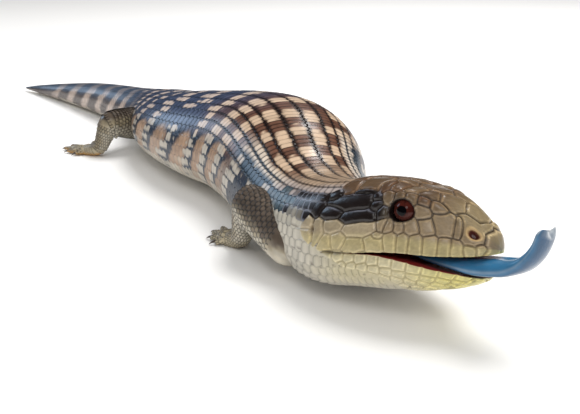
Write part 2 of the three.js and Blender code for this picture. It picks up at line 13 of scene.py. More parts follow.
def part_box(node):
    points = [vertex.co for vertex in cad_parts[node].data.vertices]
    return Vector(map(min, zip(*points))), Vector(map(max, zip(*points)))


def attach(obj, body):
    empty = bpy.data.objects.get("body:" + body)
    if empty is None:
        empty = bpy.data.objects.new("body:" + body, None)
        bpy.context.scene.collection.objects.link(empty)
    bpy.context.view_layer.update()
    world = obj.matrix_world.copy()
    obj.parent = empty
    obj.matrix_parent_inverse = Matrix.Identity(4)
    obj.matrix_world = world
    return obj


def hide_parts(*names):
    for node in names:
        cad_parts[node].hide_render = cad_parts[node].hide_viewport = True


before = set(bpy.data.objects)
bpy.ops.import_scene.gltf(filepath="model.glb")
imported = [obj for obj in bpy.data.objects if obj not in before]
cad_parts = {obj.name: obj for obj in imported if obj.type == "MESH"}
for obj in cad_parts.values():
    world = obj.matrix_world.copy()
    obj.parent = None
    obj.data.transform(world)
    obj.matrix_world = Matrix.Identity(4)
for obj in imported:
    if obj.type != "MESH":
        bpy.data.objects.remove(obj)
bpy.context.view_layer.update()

MM = 0.001
RANDOM = np.random.default_rng(11)

# Spine. Every table starts at the snout and gives a value for a distance behind it.
LENGTH = 458
HEADING = [[0, 15], [45, 15], [61, -5], [81, -17], [115, -22], [145, -7], [175, 11],
           [205, 3.5], [234, -5], [279, 2.5], [355, 10], [458, 19]]
SPINE_HEIGHT = [[0, 28.8], [45, 19.7], [60, 17], [74, 15.9], [90, 16.2], [115, 17.9],
                [165, 20], [200, 19.3], [230, 17.2], [255, 15.3], [279, 13.6], [300, 12],
                [355, 9.4], [405, 6.3], [458, 2.6]]
ROLL = [[0, -11.5], [45, -11.5], [95, 0], [458, 0]]

# Body girth: distance behind the snout, half width, reach above and reach below the spine.
GIRTH = [[40, 19.5, 19, 16], [56, 20.5, 18, 16.1], [66, 21.3, 17.4, 15.9],
         [80, 23.2, 18.2, 16], [95, 25.9, 20.6, 17], [112, 29.9, 24, 18.7],
         [140, 34.6, 26, 20.5], [170, 36.3, 23.5, 20.5], [200, 33.3, 20, 19.8],
         [230, 29, 17, 17.7], [255, 23, 15.5, 15.7], [268, 18.5, 14.5, 14.8],
         [281, 16.5, 13.5, 13.8], [300, 15, 12.6, 12.4], [325, 13.5, 11.6, 11.2],
         [355, 11.8, 10, 9.6], [405, 7.5, 6.2, 6.2], [440, 3.6, 3, 3], [458, 0.8, 0.8, 0.8]]
BODY_ANGLES = [90, 66, 42, 20, 0, -18, -38, -62, -90]

# Head: nine points down one side of the section at each station, from the crown to the throat.
HEAD = [
    [4, [[0, 7], [2.8, 6.7], [5.1, 5], [6.5, 2.4], [6.9, 0.2], [6.6, -2.4], [5.9, -6.4],
         [3.7, -9.4], [0, -10.3]]],
    [8, [[0, 10.5], [3.8, 10.1], [6.4, 8.1], [7.9, 3.9], [8.6, 0.7], [8.8, -2.6], [8.2, -7.6],
         [5.6, -11], [0, -12]]],
    [13, [[0, 13.3], [4.9, 13], [8.1, 10.8], [9.8, 5.4], [11.3, 1.4], [11.8, -2.6],
          [11.3, -8], [7.8, -12], [0, -13.2]]],
    [18, [[0, 15.3], [6, 15.2], [10.3, 13.6], [12, 7.4], [13.9, 2.2], [14.5, -2.2],
          [14, -8.2], [9.6, -12.7], [0, -14]]],
    [23.5, [[0, 16.6], [7.1, 16.3], [12.6, 15.2], [14.3, 8.9], [16.2, 2.8], [16.8, -1.8],
            [16.2, -8.3], [11.4, -13.2], [0, -14.6]]],
    [31, [[0, 18.8], [7.9, 18.2], [13.9, 15.4], [16.7, 8.6], [18.6, 2.8], [18.8, -2],
          [18.4, -8.5], [13.2, -13.7], [0, -15.2]]],
    [40, [[0, 19.3], [8.5, 18.4], [14.9, 14.8], [18.4, 7.8], [20.1, 2.2], [20.3, -3.2],
          [19.8, -9], [14.4, -14], [0, -15.6]]],
    [50, [[0, 18.6], [9, 17.4], [16, 13.4], [19.4, 7.2], [20.7, 1.6], [20.9, -3.8],
          [20.4, -9.6], [15.4, -14.7], [0, -16.4]]],
    [58, [[0, 17.8], [9.4, 16.6], [16.5, 12], [19.6, 6.6], [20.5, 1.2], [20.5, -4.2],
          [20, -9.8], [15.6, -14.7], [0, -16.2]]],
]
SNOUT_ROUND = 8
SNOUT_FIRST = 4
SNOUT_LEVEL = -1
HEAD_TO_BODY = [50, 72]

# Mouth: the upper lip's height at each distance behind the snout, and the lower lip below it.
LIP = [[-6, -1.6], [0, -1.9], [4, -2.4], [8, -2.6], [13, -2.6], [18, -2.3], [23.5, -1.9],
       [31, -2.2], [38, -3], [46, -3.7]]
GAPE = [[-6, 7.4], [0, 7], [4, 6.4], [8, 5.4], [13, 4.2], [18, 3.2], [23.5, 2.2],
        [31, 0.8], [38, 0.3], [46, 0.3]]
MOUTH_CORNER = 42

# Tongue: distance behind the snout, height, half width, half thickness and how far its sides
# droop below its middle.
TONGUE = [[31, -3.1, 4.6, 0.9, 0], [26, -3.3, 6, 1.1, 0.2], [18, -4.1, 7.6, 1.6, 0.6],
          [10, -4.8, 8, 2.1, 1.1], [4, -5.2, 7.7, 2.5, 1.3], [-2, -5.1, 7, 2.6, 1],
          [-6, -4.4, 6.2, 2.4, 0.2], [-9.6, -2.3, 5.6, 1.9, -0.7], [-12.4, 1.2, 5.2, 1.4, -1.2],
          [-14.4, 5.8, 5.4, 0.9, -1.6]]

EYE = {"at": (24, 10.4, 9.9), "radius": 4.2}

# Legs: joints and digit tips as points of the animal's frame, and the radius at each joint.
LEGS = {
    "front_right": {
        "root": (-66, -27.5, 12.5), "elbow": (-86, -31.5, 21), "wrist": (-94, -31.5, 4.6),
        "girth": (8.6, 7, 5.8, 3.6), "palm": (-99, -32.6, 2.4), "palm_width": 4.8,
        "digits": [(-103.5, -40), (-109, -38.4), (-113.5, -34.2), (-115, -28.8),
                   (-109.5, -23.2)],
    },
    "front_left": {
        "root": (-92, 15, 11), "elbow": (-107, 31.5, 10.5), "wrist": (-99, 39.5, 4.6),
        "girth": (8.4, 5.9, 5.2, 3.6), "palm": (-95, 43, 2.4), "palm_width": 4.8,
        "digits": [(-85.5, 40), (-82, 46), (-84, 52.5), (-90, 56.5), (-98, 55)],
    },
    "hind_right": {
        "root": (-246, -8, 13.5), "elbow": (-239.5, -30, 18.2), "wrist": (-242, -36.5, 4.8),
        "girth": (9.2, 6.4, 5.4, 3.6), "palm": (-248, -40.5, 2.4), "palm_width": 4.6,
        "digits": [(-250, -50), (-258, -51.5), (-265, -50.5), (-268, -45), (-260.5, -38.5)],
    },
    "hind_left": {
        "root": (-247, 12, 13.5), "elbow": (-240, 37, 18), "wrist": (-250, 43, 4.8),
        "girth": (9.2, 6.8, 5.4, 3.6), "palm": (-257, 46.5, 2.4), "palm_width": 4.6,
        "digits": [(-258, 56), (-266, 58), (-273.5, 56.5), (-276.5, 51), (-270, 44.5)],
    },
}

# Head shields. Each is a middle (distance behind the snout, place down the side of the section
# in control points from the crown), a half length and a half height in the same measures.
# A shield of several entries is drawn by all of them together. The single ones lie on the middle
# line of the crown or the chin, and the others are mirrored.
SHIELDS_SINGLE = [
    [(0, 2.5, 2.4, 5)], [(6.3, 0, 3.5, 0.95)], [(20, 0, 5.6, 0.55)], [(35, 0, 4.2, 0.42)],
    [(1.6, 7.2, 2.4, 2)],
]
SHIELDS_CROWN = [
    [(4.6, 2.9, 3.4, 1.15), (2.6, 1.0, 1.3, 1.2)], [(8.6, 2.9, 1.1, 0.6)],
    [(12.6, 0.75, 3.4, 0.85)], [(17.6, 1.35, 2.6, 0.55)], [(22.3, 1.25, 2.6, 0.6)],
    [(26.8, 1.3, 2.4, 0.6)], [(30.4, 1.35, 1.9, 0.5)], [(27.8, 0.42, 3, 0.42)],
    [(35.6, 1.15, 4.4, 0.72)], [(42.6, 0.45, 2.6, 0.5)], [(42.8, 1.45, 2.6, 0.55)],
    [(14.6, 2.12, 1.9, 0.3)], [(18, 2.14, 1.7, 0.28)], [(21.3, 2.16, 1.7, 0.26)],
    [(24.7, 2.18, 1.7, 0.26)], [(28.2, 2.2, 1.8, 0.28)],
]
SHIELDS_CHEEK = [
    [(17.9, 2.66, 1.6, 0.3)], [(12.4, 2.95, 2.4, 0.58)], [(16.5, 3.3, 2, 0.42)],
    [(20.4, 3.5, 2.2, 0.33)], [(23.8, 3.58, 1.6, 0.26)], [(26.6, 3.6, 1.5, 0.26)],
    [(28.6, 3.5, 1.3, 0.3)], [(29.6, 4.03, 1.6, 0.25)], [(35.2, 3.7, 5.4, 0.36)],
    [(44.9, 3.5, 3, 0.36)], [(49.3, 3.8, 1.6, 0.65)], [(42.6, 4.25, 2.6, 0.42)],
    [(47, 4.5, 2, 0.5)], [(53, 3.4, 1.4, 0.34)], [(53, 4.15, 1.4, 0.34)],
]
SHIELDS_TEMPLE = [
    [(39.8, 2.4, 6.4, 0.32)], [(36.6, 3.02, 6, 0.27)], [(46.3, 2.85, 3.4, 0.28)],
    [(50.8, 2.55, 1.7, 0.45)], [(50.5, 2.05, 1.6, 0.35)], [(46.8, 1.95, 2.2, 0.26)],
    [(31.4, 2.6, 1.5, 0.22)], [(29.4, 2.95, 1.4, 0.25)], [(31.6, 2.3, 1.4, 0.2)],
    [(36.5, 1.95, 3.2, 0.14)],
]
SHIELDS_LIP = [
    [(2.6, 4.15, 1.6, 0.8)], [(5.4, 4.4, 1.9, 0.5)], [(8.5, 4.3, 1.6, 0.68)],
    [(11.6, 4.25, 1.7, 0.65)], [(15.1, 4.25, 1.9, 0.6)], [(18.9, 4.3, 1.9, 0.55)],
    [(22.3, 4.3, 1.6, 0.52)], [(25.6, 4.28, 1.8, 0.55)], [(30.4, 4.45, 2.8, 0.55)],
    [(37.2, 4.6, 3.6, 0.45)],
]
SHIELDS_JAW = [[(5.4, 7.35, 2.6, 0.6)], [(12, 7.45, 3.6, 0.55)], [(19.5, 7.4, 3.8, 0.5)]]

# Rows of small shields below the lower lip: the lip's place down the section at distances
# behind the snout, how far below it each row lies, and its shields' length and height.
LOWER_LIP = [[0, 7.1], [4, 6.8], [8, 6.1], [13, 5.78], [18, 5.55], [23.5, 5.35], [31, 5.15],
             [38, 5.02], [46, 4.97], [60, 4.97]]
JAW_ROWS = [{"below": 0.24, "long": 3.9, "high": 0.3}, {"below": 0.64, "long": 3.6, "high": 0.26},
            {"below": 1.02, "long": 3.4, "high": 0.25}, {"below": 1.4, "long": 3.4, "high": 0.25},
            {"below": 1.78, "long": 3.4, "high": 0.25}]


def srgb(red, green, blue):
    """A colour given in 8-bit display values, as linear light."""
    c = np.array([red, green, blue], float) / 255
    return np.where(c <= 0.04045, c / 12.92, ((c + 0.055) / 1.055) ** 2.4)


def smoothstep(a, b, x):
    """A smooth rise from 0 at a to 1 at b."""
    t = np.clip((np.asarray(x, float) - a) / (b - a), 0, 1)
    return t * t * (3 - 2 * t)


def table(rows):
    """A smooth curve through a table that never overshoots its rows."""
    rows = np.array(rows, float)
    x, y = rows[:, 0], rows[:, 1:]
    gap = np.diff(x)[:, None]
    step = np.diff(y, axis=0) / gap
    slope = np.zeros_like(y)
    w1 = 2 * gap[1:] + gap[:-1]
    w2 = gap[1:] + 2 * gap[:-1]
    same = step[:-1] * step[1:] > 0
    safe = np.where(same, step[:-1], 1), np.where(same, step[1:], 1)
    slope[1:-1] = np.where(same, (w1 + w2) / (w1 / safe[0] + w2 / safe[1]), 0)
    slope[0], slope[-1] = step[0], step[-1]

    def at(u):
        u = np.clip(np.asarray(u, float), x[0], x[-1])
        i = np.clip(np.searchsorted(x, u, side="right") - 1, 0, len(x) - 2)
        h = (x[i + 1] - x[i])[..., None]
        t = (u - x[i])[..., None] / h
        s = 1 - t
        return ((1 + 2 * t) * s * s * y[i] + t * s * s * h * slope[i]
                + t * t * (3 - 2 * t) * y[i + 1] + t * t * (t - 1) * h * slope[i + 1])
    return at


girth_at = table(GIRTH)
head_at = table([[u, *np.ravel(points)] for u, points in HEAD])
lip_at = table(LIP)
gape_at = table(GAPE)


def unit(v):
    return v / np.maximum(np.linalg.norm(v, axis=-1, keepdims=True), 1e-12)


def arc_length(points):
    """How far along a line of points each one lies from the first."""
    return np.concatenate([[0], np.cumsum(np.linalg.norm(np.diff(points, axis=0), axis=1))])


def spine_frames():
    """Place, forward, left and up of the spine at each millimetre behind the snout."""
    u = np.arange(LENGTH + 1)
    heading = np.radians(table(HEADING)(u)[:, 0])
    z = table(SPINE_HEIGHT)(u)[:, 0]
    pitch = np.arcsin(-np.gradient(z))
    flat = np.stack([np.cos(heading), np.sin(heading), 0 * u], 1) * np.cos(pitch)[:, None]
    place = np.zeros((len(u), 3))
    place[1:] = -np.cumsum((flat[1:] + flat[:-1]) / 2, axis=0)
    place[:, 2] = z
    forward = flat + np.stack([0 * z, 0 * z, np.sin(pitch)], 1)
    level = np.stack([-np.sin(heading), np.cos(heading), 0 * u], 1)
    upright = np.cross(forward, level)
    roll = np.radians(table(ROLL)(u))
    left = level * np.cos(roll) + upright * np.sin(roll)
    up = upright * np.cos(roll) - level * np.sin(roll)
    return np.stack([place, forward, left, up], 1)


SPINE = spine_frames()


def frame_at(u):
    """Place, forward, left and up of the spine at any distance behind the snout."""
    u = np.asarray(u, float)
    at = np.clip(u, 0, LENGTH)
    i = np.minimum(at.astype(int), LENGTH - 1)
    t = (at - i)[..., None, None]
    f = SPINE[i] * (1 - t) + SPINE[i + 1] * t
    place, forward, left, up = (f[..., k, :] for k in range(4))
    return place + SPINE[0, 1] * np.maximum(-u, 0)[..., None], unit(forward), unit(left), unit(up)


def local(u, y, z):
    """A point given by its distance behind the snout, side step and height from the spine."""
    place, _, left, up = frame_at(u)
    return place + left * np.asarray(y, float)[..., None] + up * np.asarray(z, float)[..., None]


def section(u):
    """The sixteen control points round the section at u: down the right side, up the left."""
    u = np.asarray(u, float)
    w, t, b = (girth_at(u)[..., k, None] for k in range(3))
    angle = np.radians(BODY_ANGLES)
    c, s = np.abs(np.cos(angle)), np.sin(angle)
    above = t * np.abs(s) ** 1.02
    below = -b * np.abs(s) ** 0.85
    body = np.stack([w * c ** 0.9, np.where(s >= 0, above, below)], -1)

    def rounded(x):
        return np.sqrt(1 - (1 - np.minimum(x / SNOUT_ROUND, 1)) ** 2.3)
    shrink = np.where(u < SNOUT_FIRST, rounded(np.maximum(u, 0)) / rounded(SNOUT_FIRST), 1)
    row = head_at(np.maximum(u, SNOUT_FIRST)).reshape(u.shape + (9, 2))
    level = np.array([0, SNOUT_LEVEL])
    head = (row - level) * shrink[..., None, None] + level
    blend = smoothstep(*HEAD_TO_BODY, u)[..., None, None]
    side = head * (1 - blend) + body * blend
    mirror = side[..., 7:0:-1, :]
    return np.concatenate([side * [-1, 1], mirror], axis=-2)


def on_loop(loop, t):
    """A smooth closed curve through each loop, at t control points from the crown."""
    t = np.mod(t, 16)
    i = t.astype(int)
    f = (t - i)[..., None]
    p0, p1, p2, p3 = (np.take_along_axis(loop, ((i + d) % 16)[..., None, None], -2)[..., 0, :]
                      for d in (-1, 0, 1, 2))
    return 0.5 * (2 * p1 + (p2 - p0) * f + (2 * p0 - 5 * p1 + 4 * p2 - p3) * f * f
                  + (3 * p1 - p0 - 3 * p2 + p3) * f ** 3)


def skin_at(u, t):
    """Points of the body's surface at u behind the snout and t round the section."""
    u, t = np.broadcast_arrays(np.asarray(u, float), np.asarray(t, float))
    p = on_loop(section(np.clip(u, 0, LENGTH)), t)
    return local(u, p[..., 0], p[..., 1])


def out_at(u, t):
    """The direction straight out of the surface there."""
    along = skin_at(np.maximum(u - 0.4, 0.01), t) - skin_at(np.minimum(u + 0.4, LENGTH), t)
    across = skin_at(u, t - 0.1) - skin_at(u, t + 0.1)
    return unit(np.cross(along, across))


# Smooth noise on a lattice, from 0 to 1, that repeats every 64 steps.
LATTICE = np.random.default_rng(5).random((64, 64))


def noise(x, y):
    x, y = np.asarray(x, float), np.asarray(y, float)
    i, j = np.floor(x).astype(int), np.floor(y).astype(int)
    fx, fy = x - i, y - j
    fx, fy = fx * fx * (3 - 2 * fx), fy * fy * (3 - 2 * fy)
    a, b = LATTICE[i % 64, j % 64], LATTICE[(i + 1) % 64, j % 64]
    c, d = LATTICE[i % 64, (j + 1) % 64], LATTICE[(i + 1) % 64, (j + 1) % 64]
    return (a * (1 - fx) + b * fx) * (1 - fy) + (c * (1 - fx) + d * fx) * fy


# Colours
BLOTCH_FRONT = srgb(194, 168, 142)
BLOTCH_REAR = srgb(194, 178, 168)
BACK_FRONT = srgb(98, 68, 54)
# Slate ground of the rear back: partly its own colour, with its blue partly a painted sheen.
BACK_REAR_SLATE_AND_SHEEN = srgb(66, 76, 100)
CHAIN = srgb(28, 19, 18)
NAPE = srgb(156, 134, 112)
# Painted sheen: the pale grey laid over the nape's tan where it turns down the side.
NAPE_SHEEN = srgb(160, 156, 160)
NECK_SIDE = srgb(56, 70, 76)
SHOULDER_DARK = srgb(34, 50, 64)
SHOULDER_PALE = srgb(198, 184, 168)
FLANK_WARM = srgb(164, 136, 114)
FLANK_PALE = srgb(190, 182, 170)
FLANK_EDGE = srgb(46, 56, 72)
BELLY = srgb(196, 188, 172)
THROAT = srgb(190, 184, 170)
SPECK = srgb(60, 46, 38)
TAIL = srgb(74, 86, 104)
TAIL_BAND = srgb(196, 178, 166)
TAIL_LOW = srgb(98, 88, 84)
CROWN = srgb(80, 56, 40)
SNOUT = srgb(138, 122, 92)
LORE = srgb(136, 118, 92)
LIP_CREAM = srgb(170, 156, 114)
CHEEK = srgb(160, 145, 118)
JAW = srgb(190, 180, 146)
CHIN = srgb(200, 190, 120)
TEMPLE = srgb(30, 22, 20)
SUTURE = srgb(38, 26, 20)
SUTURE_PALE = srgb(104, 84, 54)
EYE_RING = srgb(30, 22, 20)
JAW_SUTURE = srgb(158, 142, 98)
CHEEK_SUTURE = srgb(176, 160, 128)
# Painted highlight: the pale bluish glint painted on the edges of the dark temple shields and of the
# scales behind them.
TEMPLE_PAINTED_HIGHLIGHT = srgb(150, 154, 168)
# Inside of the nostril: partly the reddish colour of its lining, partly painted shade in the hole.
NOSTRIL_LINING_AND_SHADE = srgb(92, 46, 40)
NOSTRIL_RIM = srgb(196, 164, 112)
LIMB_DARK = srgb(88, 76, 65)
LIMB_MID = srgb(146, 134, 110)
LIMB_CREAM = srgb(198, 190, 172)
FOOT = srgb(172, 160, 134)
SOLE = srgb(186, 142, 78)
TONGUE_BLUE = srgb(46, 108, 148)
# Painted shade: the darker blue of the tongue's underside.
TONGUE_UNDER_SHADE = srgb(32, 76, 112)
# Painted highlight on the tongue's tip and along its edges.
TONGUE_HIGHLIGHT = srgb(190, 196, 200)

# Bands across the body: how far apart they are at each distance behind the snout. Rows of
# scales run along it: one on the middle line, given here by its half width, and the others
# down each side. A blotch fills a row where a band crosses it.
BAND_SPACING = [[0, 16.5], [110, 17], [150, 20], [200, 20], [230, 17], [290, 18], [330, 21],
                [365, 26], [458, 28]]
BAND_FIRST = 86
ROWS = 18
ROW_WIDTH = np.array([0.92, 1.65, 1.15] + [1.0] * (ROWS - 3))
MIDBODY = 130

ALONG = np.arange(LENGTH + 1.0)
BAND_PHASE = np.concatenate([[0], np.cumsum(1 / table(BAND_SPACING)(ALONG)[:-1, 0])])
BAND_PHASE -= np.interp(BAND_FIRST, ALONG, BAND_PHASE)
SIDE_STEPS = np.linspace(0, 8, 161)


def girth_share():
    """How much of half the girth lies above each place down the side, at mid body."""
    p = skin_at(np.full(SIDE_STEPS.shape, float(MIDBODY)), SIDE_STEPS)
    arc = arc_length(p)
    return arc / arc[-1]


GIRTH_SHARE = girth_share()
ROW_EDGES = np.concatenate([[0], np.cumsum(ROW_WIDTH)]) / ROW_WIDTH.sum()


def row_at(side):
    """The row of scales at a signed place down the side: 0 on the middle line, then 1 and up
    to the right and -1 and down to the left. Their borders are at the halves."""
    share = np.interp(np.abs(side), SIDE_STEPS, GIRTH_SHARE)
    borders = np.concatenate([[0], np.arange(ROWS) + 0.5])
    return np.sign(side) * np.interp(share, ROW_EDGES, borders)


def mix(a, b, share):
    """The colour a turned into b by a share for each point."""
    share = np.asarray(share, float)[..., None]
    return np.asarray(a) * (1 - share) + np.asarray(b) * share


# Where the body's patterns begin and end: distances behind the snout in millimetres, and places
# down the side of the section in control points, between which each pattern fades in.
STRETCH = {
    "rear": (125, 180), "tail": (258, 292), "tail_end": (425, 395), "flank": (2.3, 2.8),
    "patch": (2.2, 2.7), "patch_front": (100, 125), "patch_back": (250, 225),
    "shoulder_front": (58, 68), "shoulder_back": (118, 100), "shoulder_top": (1.15, 1.45),
    "shoulder_foot": (2.75, 2.45), "shoulder_pale": (1.95, 1.7),
    "neck": (84, 68), "nape_sheen": (1.0, 1.6), "low_neck": (1.75, 2.15),
    "temple_back": (61, 60), "temple_top": (1.7, 1.8), "temple_foot": (3.4, 3.2),
    "tail_low": (2.2, 3.6), "tail_side": (1, 3), "throat": (95, 60), "jaw": (56, 38),
    "jaw_foot": (7.4, 6), "belly_rise": (105, 66), "speck_back": (120, 80),
    "speck_foot": (7.8, 5),
}
BAND_SLANT = 3.5
# A blotch's half length in bands, how much that varies and how ragged it is, and its half width in
# rows and how much that wavers.
BLOTCH = {"reach": 0.25, "varies": 0.16, "ragged": 0.11, "half": 0.43, "wavers": 0.14}
BELLY_TOP = 5


def within(name, x):
    """How far x has come from the first to the second bound of a stretch, from 0 to 1."""
    return smoothstep(*STRETCH[name], x)


def lay(under, over, share):
    """Lays one pattern over another by a share. A pattern is a colour, the colour of its
    scales' edges, and how dark their sides and their ends are with it."""
    colours = [mix(a, b, share) for a, b in zip(under[:2], over[:2])]
    darks = [a * (1 - share) + b * share for a, b in zip(under[2:], over[2:])]
    return (*colours, *darks)


def band_phase(p, u, side, drift):
    """How many bands lie between the first one and this place. They slant down each side, and
    each row drifts from them by itself."""
    s = np.abs(side)
    lower = np.maximum(s - 2, 0)
    slant = np.where(side > 0, BAND_SLANT * lower - (s - lower) * (1 - p["rear"]), BAND_SLANT * s)
    drifted = drift * (noise(p["row"] * 3.1, u / 24) - 0.5)
    return np.interp(u - slant + drifted, ALONG, BAND_PHASE)


def body_place(u, side, row, scale):
    """What the patterns read of each point: its place, row and scale, and noise of three sizes."""
    s, scale_s = np.abs(side), np.abs(scale[1])
    waver = noise(u / 9, side * 2.3 + 9) - 0.5
    p = {
        "u": u, "side": side, "s": s, "row": row, "scale": scale, "scale_s": scale_s,
        "waver": waver, "fine": noise(u / 1.7, side * 11),
        "mosaic": noise(scale[0] / 1.3, scale_s * 9) - 0.5, "tail": within("tail", u),
        "rear": within("rear", u + 12 * waver), "flank": within("flank", s + 0.5 * waver),
    }
    phase = band_phase(p, u, side, 3)
    p["off"] = np.abs(phase - np.round(phase))
    return p


def blotches(p):
    """Rounded blotches, each filling its row where a band crosses it, with some left out."""
    rear, flank, fine = p["rear"], p["flank"], p["fine"]
    phase = band_phase(p, *p["scale"], 10 - 6 * flank)
    band = np.round(phase)
    draw = noise(band * 5.7 + 2.5, p["row"] * 3.7 + 0.5)
    reach = (BLOTCH["reach"] + BLOTCH["varies"] * (draw - 0.5) - 0.07 * rear - 0.02 * flank
             + BLOTCH["ragged"] * (fine - 0.5))
    beside = np.abs(row_at(p["side"]) - p["row"]) + BLOTCH["wavers"] * (fine - 0.5)
    rounded = (np.abs(phase - band) / reach) ** 3 + (beside / BLOTCH["half"]) ** 3
    return smoothstep(1.15, 0.85, rounded) * (draw > 0.2 - 0.06 * rear - 0.2 * flank)


def trunk_pattern(p):
    """Pale blotches on a dark ground, brown in front and slate blue behind, the blue partly a painted
    sheen, with dark lines along the rows' borders. Down the flank, warm patches rise to a point
    between the bands."""
    u, s, fine, rear, flank, off = (p[k] for k in ("u", "s", "fine", "rear", "flank", "off"))
    blotch = blotches(p)
    # The rear's slate blue ground is partly its own colour and partly a painted sheen.
    ground = mix(BACK_FRONT, BACK_REAR_SLATE_AND_SHEEN, rear) * (0.75 + 0.5 * fine)[..., None]
    pale = mix(BLOTCH_FRONT, BLOTCH_REAR, rear)
    point = within("patch", s - 2.2 * (0.5 - off) + 0.4 * p["waver"])
    point = point * smoothstep(0.2, 0.28, off + 0.1 * (fine - 0.5))
    point = point * within("patch_front", u) * within("patch_back", u)
    warm = FLANK_WARM * (0.8 + 0.4 * noise(u / 4, p["side"] * 5))[..., None]
    low_ground = mix(FLANK_EDGE * (0.7 + 0.6 * fine)[..., None], warm, point)
    colour = mix(mix(ground, low_ground, flank), mix(pale, FLANK_PALE, flank), blotch)
    edge = mix(mix(CHAIN, FLANK_EDGE * 0.3, rear), low_ground * 0.5, flank)
    sides = (1 - 0.3 * blotch * (1 - 0.6 * rear)) * (1 - 0.35 * rear) * (1 - 0.5 * flank)
    ends = (0.85 - 0.2 * rear - 0.6 * blotch) * (1 - 0.5 * flank)
    return colour, edge, sides, ends


# Each layer takes the place and the pattern below it, and gives what lies over it and its share.
def shoulder_layer(p, below):
    """Dark blue scales with pale ones among them."""
    u, s, waver = p["u"], p["s"], p["waver"]
    share = (within("shoulder_top", s + 0.2 * waver) * within("shoulder_foot", s)
             * within("shoulder_back", u + 8 * waver) * within("shoulder_front", u))
    spots = (noise(p["row"] * 3.3, u / 3.2) > 0.62) * 0.8
    pale = np.maximum(within("shoulder_pale", s), spots)
    colour = mix(SHOULDER_DARK, SHOULDER_PALE, pale)
    return (colour, SHOULDER_DARK * 0.5, 1, 0.9), share


def neck_layer(p, below):
    """Tan above with dark lines, a pale grey painted sheen over it toward the side, and blue grey at
    the side.
    """
    fine = p["fine"]
    low = within("low_neck", p["scale_s"] + 0.5 * p["mosaic"])
    # Painted sheen: pale grey mixed into the tan lower on the nape.
    nape_sheen = within("nape_sheen", p["s"] + 0.3 * p["waver"]) * 0.6
    nape = mix(NAPE * (0.8 + 0.4 * fine)[..., None], NAPE_SHEEN, nape_sheen)
    side = mix(NECK_SIDE, FLANK_PALE, smoothstep(0.6, 0.95, fine) * 0.3)
    edge = mix(CHAIN, SHOULDER_DARK, low)
    share = within("neck", p["u"] + 8 * p["waver"])
    return (mix(nape, side, low), edge, 0.85 - 0.15 * low, 0.45 + 0.3 * low), share


def temple_layer(p, below):
    """Black scales behind the temples, with a painted bluish highlight along their edges."""
    scale_s, mosaic = p["scale_s"], p["mosaic"]
    share = (within("temple_back", p["scale"][0] + 5 * mosaic) * within("temple_top", scale_s)
             * within("temple_foot", scale_s + 0.5 * mosaic))
    return (TEMPLE, TEMPLE_PAINTED_HIGHLIGHT * 0.7, 0.7, below[3]), share


def tail_layer(p, below):
    """Blue grey above and brown grey below, with pale bands."""
    u, s = p["u"], p["s"]
    ground = mix(TAIL, TAIL_LOW, within("tail_low", s))
    ground = ground * (0.8 + 0.4 * p["fine"])[..., None]
    band = smoothstep(0.3, 0.12, p["off"]) * (0.25 + 0.7 * within("tail_side", s))
    colour = mix(ground, TAIL_BAND, band * within("tail_end", u))
    return (colour, below[1], 0.5 * below[2], below[3]), p["tail"]


def belly_share(p):
    top = BELLY_TOP - 1.75 * within("belly_rise", p["u"]) + 0.8 * p["tail"]
    return smoothstep(top - 0.4, top + 0.4, p["scale_s"] + 0.5 * p["waver"] + 0.8 * p["mosaic"])


def belly_layer(p, below):
    """Pale under the body, the throat and the jaw."""
    u, s = p["u"], p["s"]
    belly = mix(BELLY, THROAT, within("throat", u))
    belly = mix(belly, JAW, within("jaw", u + 3 * p["waver"]) * within("jaw_foot", s))
    return (belly, belly * 0.35, 0.25, 0.4), belly_share(p)


def speck_layer(p, below):
    """Small dark specks on the throat."""
    speck = noise(p["u"] / 1.3, p["side"] * 16) > 0.88
    share = speck * within("speck_foot", p["s"]) * within("speck_back", p["u"])
    return (SPECK, *below[1:]), share * belly_share(p) * 0.6


def markings(u, side, row=None, scale=None):
    """The body's pattern at u and at a signed place down the section, positive on the right.
    The row and the u and side of its scale's middle may be given, so that blotches fill whole
    scales."""
    if row is None:
        row = np.round(row_at(side))
    if scale is None:
        scale = u, side
    p = body_place(u, side, row, scale)
    pattern = trunk_pattern(p)
    for layer in (shoulder_layer, neck_layer, temple_layer, tail_layer, belly_layer, speck_layer):
        over, share = layer(p, pattern)
        pattern = lay(pattern, over, share)
    return pattern


# Mesh making
eye_low, eye_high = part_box("eye_left")
OFFSET = (np.array((eye_low + eye_high) / 2) / MM - local(*EYE["at"])) * [1, 1, 0]


def to_metres(points):
    return (np.asarray(points) + OFFSET) * MM


def face_starts(sizes):
    """Where each face's corners start in the list of all of them."""
    return np.concatenate([[0], np.cumsum(sizes)[:-1]])


def make_mesh(name, points, faces, material):
    """A smooth mesh object from points in millimetres and faces of three or four corners."""
    mesh = bpy.data.meshes.new(name)
    faces = [np.asarray(f, int) for f in faces if len(f)]
    loops = np.concatenate([f.ravel() for f in faces])
    sizes = np.concatenate([np.full(len(f), f.shape[1]) for f in faces])
    mesh.vertices.add(len(points))
    mesh.vertices.foreach_set("co", to_metres(points).astype(np.float32).ravel())
    mesh.loops.add(len(loops))
    mesh.loops.foreach_set("vertex_index", loops.astype(np.int32))
    mesh.polygons.add(len(sizes))
    mesh.polygons.foreach_set("loop_start", face_starts(sizes).astype(np.int32))
    mesh.polygons.foreach_set("use_smooth", np.ones(len(sizes), bool))
    mesh.update(calc_edges=True)
    mesh.validate()
    obj = bpy.data.objects.new(name, mesh)
    bpy.context.scene.collection.objects.link(obj)
    mesh.materials.append(material)
    return obj


def vertex_array(mesh, name="co"):
    values = np.zeros(len(mesh.vertices) * 3, np.float32)
    mesh.vertices.foreach_get(name, values)
    return values.reshape(-1, 3).astype(float)


